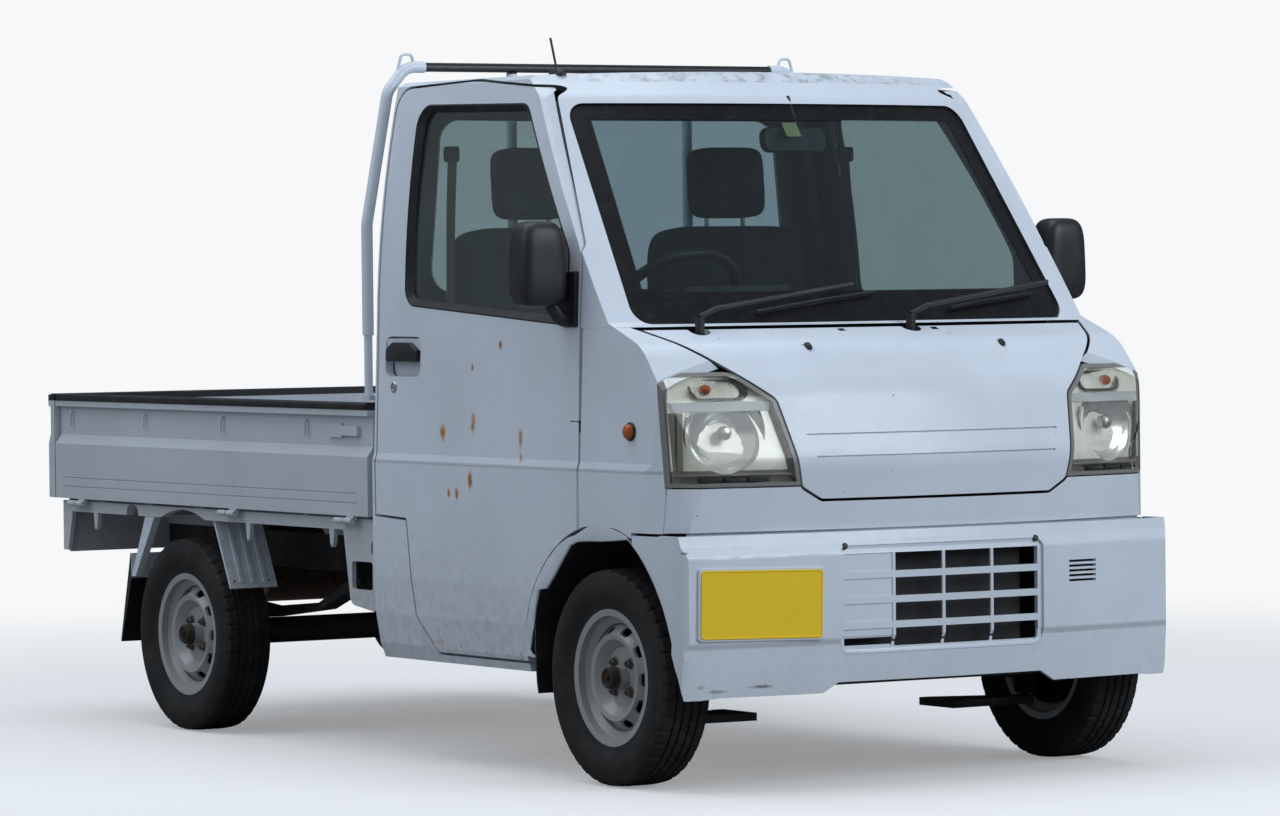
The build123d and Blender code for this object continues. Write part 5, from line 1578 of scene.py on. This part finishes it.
@dataclass
class Tyre(Fittings):
    """One tyre: sidewalls with rings, shoulders and a grooved tread."""

    corner: str
    centre: Point
    radius: float = 267
    width: float = 147
    bead: float = 171.5
    steps: int = 252
    groove: float = 6.5
    groove_half: float = 3.2
    # Sidewall: X from the middle and height over the bead
    wall: Profile = (
        (56, -3), (57.5, 4), (61, 12), (66, 22), (67.2, 24), (67.6, 27), (69, 29), (72, 42), (73.5, 54),
        (72, 66), (70.3, 70), (70.1, 74), (67.5, 82), (63.5, 88.5))

    def _profile(self) -> list[Flat]:
        """The tyre's section from one bead to the other: X and radius."""
        half, top, edge = self.width / 2, self.radius, self.groove_half
        side = [(x, self.bead + rise) for x, rise in self.wall]
        tread = [(half - 13, top - 3.4), (46, top - 1.6), (38, top - 1.0)]
        for x in (34, 12, -12, -34):
            tread += [(x + edge, top - 0.8), (x + edge - 1, top - self.groove),
                      (x - edge + 1, top - self.groove), (x - edge, top - 0.8)]
            if x != -34:
                tread += [(x - 11, top - 0.3)]
        tread += [(-38, top - 1.0), (-46, top - 1.6), (-half + 13, top - 3.4)]
        return side + tread + [(-x, r) for x, r in reversed(side)]

    def build(self) -> None:
        """Make the tyre and let it stand for its CAD node."""
        half = self.width / 2
        profile = self._profile()
        count = len(profile)
        verts, faces = [], []
        cx, cy, cz = self.centre
        for i in range(self.steps):
            t = 2 * math.pi * i / self.steps
            for x, r in profile:
                out = abs(x)
                cut = 0.0
                if 44 < out < half - 6 and r > self.radius - 12 and i % 6 == 0:
                    cut = self.groove * 0.8
                elif 14 < out < 33 and r > self.radius - 2 and (i + 3) % 6 == 0:
                    cut = self.groove * 0.45
                elif out < 10 and r > self.radius - 2 and i % 6 == 1:
                    cut = self.groove * 0.35
                lean = t + 0.010 * math.sin(x / 12)
                verts.append((cx + x, cy + (r - cut) * math.cos(lean), cz + (r - cut) * math.sin(lean)))
        for i in range(self.steps):
            j = (i + 1) % self.steps
            for k in range(count - 1):
                faces.append((i * count + k, i * count + k + 1, j * count + k + 1, j * count + k))
            faces.append((i * count + count - 1, i * count, j * count, j * count + count - 1))
        tyre = mesh_object(f"tyre {self.corner}", verts, faces)
        shade(tyre, 28)
        self.finishes.put(tyre, TYRE)
        node = self.corner.replace(" ", "_")
        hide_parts(f"tyre_{node}")
        ride_all([tyre], f"wheel_{node}")


@dataclass
class WheelDress(Fittings):
    """One wheel's nuts, hub and valve."""

    corner: str
    centre: Point
    side: Side
    nut_circle: float = 50
    nuts: int = 4
    nut: Profile = ((-2, 0), (-2, 11), (1, 11), (11, 10.5), (13.5, 8), (13.5, 5.5), (8, 5), (8, 0))
    washer: Profile = ((-2, 0), (-2, 14), (1.5, 14), (3, 11), (3, 0))
    stud: Profile = ((6, 0), (6, 4.6), (18, 4.6), (19, 3.6), (19, 0))
    hub: Profile = ((-6, 0), (-6, 30), (3, 30), (5, 28), (18, 26.5), (22, 24), (22, 20), (19, 18),
                    (19, 6), (25, 6), (25, 0))
    valve: Profile = ((-4, 0), (-4, 6), (4, 5), (10, 3.6), (26, 3.4), (30, 3.4), (31, 2), (31, 0))
    valve_circle: float = 146
    valve_angle: float = 200
    drum: Profile = ((0, 40), (0, 118), (-4, 124), (-40, 126), (-44, 122), (-44, 112))
    drum_out: float = 4

    def _on_rim(self, skin: Skin, radius: float, angle: float) -> Vector:
        """The rim's skin at a radius and an angle in radians."""
        _, cy, cz = self.centre
        y, z = cy + radius * math.cos(angle), cz + radius * math.sin(angle)
        return skin.beside(self.side, y, z)[0]

    def build(self) -> None:
        """Make the fittings that turn with the wheel."""
        node = self.corner.replace(" ", "_")
        skin = Skin(self.frame, (f"wheel_{node}",))
        out = Vector((self.side.value, 0, 0))
        nuts = []
        for i in range(self.nuts):
            spot = self._on_rim(skin, self.nut_circle, math.pi / 4 + i * math.pi / 2)
            for name, profile, sides in (("nut", self.nut, 6), ("washer", self.washer, 24),
                                         ("stud", self.stud, 16)):
                nuts.append(placed(turned(name, profile, "z", sides), stand(spot, out)))
        bolts = self.finishes.put(join(f"wheel nuts {self.corner}", nuts), IRON)
        hub = turned(f"hub {self.corner}", self.hub, "z", 48)
        placed(self.finishes.put(hub, HUB), stand(self._on_rim(skin, 0, 0), out))
        valve = turned(f"valve {self.corner}", self.valve, "z", 20)
        spot = self._on_rim(skin, self.valve_circle, math.radians(self.valve_angle))
        placed(self.finishes.put(valve, RUBBER), stand(spot, out))
        drum = turned(f"brake drum {self.corner}", self.drum, "z", 64)
        x, y, z = self.centre
        placed(self.finishes.put(drum, DRUM), stand(Vector((x + out.x * self.drum_out, y, z)), out))
        ride_all([bolts, hub, drum], f"wheel_{node}")
        ride_all([valve], f"wheel_{node}")


@dataclass
class Wheels(Fittings):
    """Every wheel's tyre and fittings."""

    height: float = 267
    # Axles: end, Y and track
    axles: tuple[tuple[str, float, float], ...] = (("front", -1277.5, 1305), ("rear", 922.5, 1300))

    def build(self) -> None:
        """Dress the four wheels."""
        for end, y, track in self.axles:
            for side in Side:
                corner = f"{end} {side.word}"
                centre = (side.value * track / 2, y, self.height)
                Tyre(self.finishes, self.frame, corner, centre).build()
                WheelDress(self.finishes, self.frame, corner, centre, side).build()


@dataclass
class Seats(Fittings):
    """The two seats: cushions, backs and headrests, sewn and padded."""

    centres: tuple[float, ...] = (-305, 305)
    # Block: name, Y and Z of its middle, size, lean in degrees, squareness, swell and seams
    blocks: tuple[tuple[str, Flat, Point, float, float, float, tuple[float, ...]], ...] = (
        ("seat cushion", (-515, 718), (466, 366, 132), 0, 8, 10, (0.55,)),
        ("seat back", (-293, 1030), (456, 112, 690), 5.5, 8, 12, (0.55,)),
        ("headrest", (-276, 1492), (216, 76, 188), 4, 6, 6, ()))
    # Headrest's stays: half their distance, and Y and Z of their ends
    stay_half: float = 58
    stay: Profile = ((-268, 1352), (-270, 1416))

    def build(self) -> None:
        """Make both seats and let them stand for the CAD ones."""
        for x, side in zip(self.centres, ("right", "left")):
            cushion, back, head = (self._pad(f"{name} {side}", (x, *middle), *shape)
                                   for name, middle, *shape in self.blocks)
            stays = join(f"headrest stays {side}", [
                pipe("stay", [(x + d, y, z) for y, z in self.stay], 6, 14)
                for d in (-self.stay_half, self.stay_half)])
            self.finishes.put(stays, STEEL)
            for obj in (cushion, back, head):
                self.finishes.put(obj, CLOTH)
            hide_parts("seats")
            ride_all([cushion, back, head], "chassis")
            ride_all([stays], "chassis")

    def _pad(self, name: str, centre: Point, size: Point, lean: float, power: float, swell: float,
             seams: Sequence[float]) -> Piece:
        """A stuffed block.

        Args:
            name: the piece's name.
            centre: its middle in millimetres.
            size: its whole width, depth and height.
            lean: how many degrees it leans back.
            power: how square its corners are.
            swell: how far its broad sides swell out.
            seams: shares of the half width at which sewn lines run along it.

        Returns:
            The new object.
        """
        tilt = Matrix.Rotation(math.radians(-lean), 3, "X")
        thin = size.index(min(size))

        def place(point: Vector) -> Vector:
            """A point of the cube, on the stuffed block's cover."""
            length = sum(abs(c) ** power for c in point) ** (1 / power)
            p = point / length
            room = [1 - abs(p[i]) ** 2.2 for i in range(3) if i != thin]
            out = swell * room[0] * room[1]
            for share in seams:
                out -= 7 * math.exp(-((abs(p.x) - share) / 0.022) ** 2) * (1 if room[1] > 0.05 else 0)
            rim = math.exp(-((abs(p[thin]) - 0.86) / 0.05) ** 2)
            ripple = 1.2 * math.sin(p.x * 9 + p.z * 5) * math.sin(p.z * 7 - p.y * 4)
            spot = Vector([c * k / 2 for c, k in zip(p, size)])
            spot[thin] += math.copysign(1, p[thin]) * (out + ripple) * min(1, abs(p[thin]) * 1.4)
            return tilt @ (spot - p * 2.2 * rim) + Vector(centre)

        return kneaded(name, 31, place)


@dataclass
class CabInside(Fittings):
    """What shows through the glass besides the seats: mirror, sticker, visors, belts and dials."""

    mirror_rows: Rows = ((200, 58, 22, -12), (208, 64, 26, -4), (208, 64, 26, 6), (202, 58, 24, 8))
    mirror_at: Point = (24, -1010, 1588)
    stem: tuple[Point, ...] = ((24, -1018, 1600), (24, -1024, 1640), (24, -990, 1700))
    sticker_rows: Rows = ((44, 44, 2, -6.4), (44, 44, 2, -7.2))
    sticker_z: float = 1618
    visor_rows: Rows = ((390, 130, 18, -7), (396, 136, 20, -2), (396, 136, 20, 4), (390, 130, 18, 8))
    visors: tuple[Point, ...] = ((-330, -790, 1708), (330, -790, 1708))
    belt: tuple[Point, ...] = (
        (612, -392, 1560), (622, -396, 1400), (628, -402, 1180), (634, -398, 980), (640, -380, 760))
    belt_half: float = 22
    guide_rows: Rows = ((66, 40, 10, -5), (66, 40, 10, 4), (56, 30, 8, 7))
    guide_at: Point = (614, -392, 1566)
    vents: tuple[float, ...] = (-520, 60, 520)
    vent_foot: float = 1092
    slats: int = 5
    dials: tuple[Point, ...] = ((-350, -1139, 1168), (-240, -1139, 1168))
    dial_profile: Profile = ((0, 0), (0, 40), (6, 42), (8, 44), (8, 47), (0, 49))
    column_x: float = -293
    # Lever: distance from the column, Y and Z
    lever: tuple[Point, ...] = ((34, -1005, 1106), (120, -985, 1128), (165, -975, 1140))

    def build(self) -> None:
        """Make the cab's inner fittings."""
        mirror = self.finishes.put(stack("inner mirror", self.mirror_rows), BLACK)
        placed(mirror, stand(Vector(self.mirror_at), Vector((-0.10, 1, -0.12))))
        stem = self.finishes.put(pipe("mirror stem", self.stem, 6, 14, 14), BLACK)
        spot, way = Skin(self.frame, ("cab_glass",)).ahead(0, self.sticker_z)
        sticker = self.finishes.put(stack("blank sticker", self.sticker_rows), STICKER)
        placed(sticker, stand(spot, way))
        down = Vector((0, -0.08, -1))
        visors = [placed(stack("visor", self.visor_rows), stand(Vector(at), down, (0, -1, 0)))
                  for at in self.visors]
        shades = self.finishes.put(join("sun visors", visors), LINING)
        ride_all([mirror, stem, shades], "chassis")
        ride_all([sticker], "chassis")
        for side in Side:
            self._belt(side)
        self._dash()

    def _belt(self, side: Side) -> None:
        """A belt, hanging down the pillar behind the seat, with its guide."""
        s = side.value
        path = rounded([(s * x, y, z) for x, y, z in self.belt], 80)
        thick = Vector((s, 0, 0))
        rings = []
        for i, p in enumerate(path):
            twist = 0.35 * math.sin(i / len(path) * math.pi * 1.5)
            along = Vector((0.10 * math.sin(twist), math.cos(twist), 0.25)).normalized() * self.belt_half
            rings.append([p - along - thick, p + along - thick, p + along + thick, p - along + thick])
        belt = self.finishes.put(loft(f"seat belt {side.word}", rings), WEBBING)
        x, y, z = self.guide_at
        guide = self.finishes.put(stack(f"belt guide {side.word}", self.guide_rows), BLACK)
        placed(guide, stand(Vector((s * x, y, z)), Vector((-s, 0, 0))))
        ride_all([belt], "chassis")
        ride_all([guide], "chassis")

    def _dash(self) -> None:
        """Air vents, the dial housing's face and the column's levers."""
        slats = []
        for x in self.vents:
            for i in range(self.slats):
                low = self.vent_foot + i * 11
                slats.append(box("slat", (x - 60, x + 60), (-1152, -1136), (low, low + 4), 1))
            for low in (self.vent_foot - 8, self.vent_foot + 52):
                slats.append(box("frame", (x - 66, x + 66), (-1150, -1142), (low, low + 6), 2))
        vents = self.finishes.put(join("air vents", slats), BLACK)
        rims = [placed(turned("dial", self.dial_profile, "z", 48), stand(Vector(at), Vector((0, 1, 0.25))))
                for at in self.dials]
        dials = self.finishes.put(join("dials", rims), BLACK)
        levers = self.finishes.put(join("column levers", [
            pipe("lever", [(self.column_x + d * out, y, z) for out, y, z in self.lever], 5.5, 12, 20)
            for d in (-1, 1)]), BLACK)
        ride_all([vents, dials, levers], "chassis")


@dataclass
class Wipers(Fittings):
    """The wiper blades, which lie on the windscreen."""

    # Blade: x and z at its low end, x and z at its high end
    blades: tuple[tuple[float, float, float, float], ...] = ((-330, 1152, 30, 1196), (250, 1155, 560, 1186))

    def build(self) -> None:
        """Make the blades along the glass."""
        skin = Skin(self.frame, ("cab_glass",))
        for (x0, z0, x1, z1), side in zip(self.blades, ("right", "left")):
            line, spine = [], []
            for i in range(15):
                x, z = x0 + (x1 - x0) * i / 14, z0 + (z1 - z0) * i / 14
                spot, way = skin.ahead(x, z)
                line.append(spot + way * 4)
                spine.append(spot + way * (11 + 5 * math.sin(math.pi * i / 14)))
            blade = join(f"wiper blade {side}", [pipe("edge", line, 3.4, 8), pipe("spine", spine, 3.6, 8)])
            self.finishes.put(blade, RUBBER)
            ride_all([blade], "chassis")


@dataclass
class BedTrim(Fittings):
    """The rubber strips on the gates' tops, and the rear lamps' lenses."""

    strip: Profile = ((-20, 906), (20, 906), (20, 924), (-20, 924))
    strip_radii: tuple[float, ...] = (3, 3, 7, 7)
    lamp_x: Flat = (558, 702)
    lamp_z: Flat = (474, 562)
    lamp_rim: float = 4
    body_y: Flat = (1650, 1668)
    lens_y: Flat = (1666, 1683)
    # Lens: low and high share of the lamp's width, finish, word
    lenses: tuple[tuple[float, float, Finish, str], ...] = (
        (0.0, 0.42, RED, "red"), (0.42, 0.74, AMBER, "amber"), (0.74, 1.0, LENS, "clear"))

    def build(self) -> None:
        """Make the bed's trim."""
        for side in Side:
            s = side.value
            strip = self._strip(f"gate strip {side.word}", s * 720, (-140, 1644), "y")
            ride_all([strip], f"side_gate_{side.word}")
            self._lamp(side)
        tail = self._strip("tailgate strip", 1676, (-730, 730), "x")
        ride_all([tail], "tailgate")

    def _strip(self, name: str, at: float, reach: Flat, axis: str) -> Piece:
        """A rubber cap along a gate's top edge."""
        shape = outline(self.strip, self.strip_radii, 4)
        rings = []
        for place in (reach[0], reach[0] + 3, reach[1] - 3, reach[1]):
            slim = 0.9 if place in reach else 1.0
            if axis == "y":
                rings.append([(at + a * slim, place, z) for a, z in shape])
            else:
                rings.append([(place, at + a * slim, z) for a, z in shape])
        return self.finishes.put(loft(name, rings), RUBBER)

    def _lamp(self, side: Side) -> None:
        """One rear lamp: black body and red, amber and clear lenses."""
        near, far = (side.value * x for x in self.lamp_x)
        low, high = self.lamp_z
        body = box(f"rear lamp body {side.word}", tuple(sorted((near, far))), self.body_y, (low, high), 4)
        self.finishes.put(body, BLACK)
        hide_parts("tail_lamps")
        ride_all([body], "chassis")
        outer = far - side.value * self.lamp_rim
        span = far - near - 2 * side.value * self.lamp_rim
        for begin, end, finish, word in self.lenses:
            a, b = sorted(outer - span * share for share in (begin, end))
            lens = box(f"rear lamp {word} {side.word}", (a + 1, b - 1), self.lens_y,
                       (low + 5, high - 5), 5)
            self.finishes.put(lens, finish)
            ride_all([lens], "chassis")


@dataclass
class RoofTrim(Fittings):
    """The aerial's base."""

    place: Flat = (-560, -822)
    rows: Rows = ((26, 64, 13, -2), (24, 60, 12, 5), (16, 40, 8, 13), (8, 16, 4, 19))

    def build(self) -> None:
        """Make the aerial's base on the roof."""
        spot, way = Skin(self.frame, ("roof",)).above(*self.place)
        fin = self.finishes.put(stack("aerial base", self.rows), BLACK)
        placed(fin, stand(spot, way, (0, 1, 0)))
        ride_all([fin], "chassis")


def main() -> dict:
    """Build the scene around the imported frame.

    Returns:
        The CAD model's box and the visual model's, to compare.
    """
    logging.basicConfig(level=logging.INFO, format="%(name)s: %(message)s")
    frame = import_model()
    cad = [list(corner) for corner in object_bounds()]
    bpy.context.scene.view_settings.view_transform = "Standard"
    Viewpoint().build()
    Studio().build()
    finishes = Finishes()
    for part in (CarriedOver, FrontTrim, HeadLamps, DoorTrim, SideMarkers, ArchTrim, Wheels, Seats,
                 CabInside, Wipers, BedTrim, RoofTrim):
        part(finishes, frame).build()
    visual = [list(corner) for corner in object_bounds()]
    return {"cad": cad, "visual": visual}


if __name__ == "__main__":
    main()
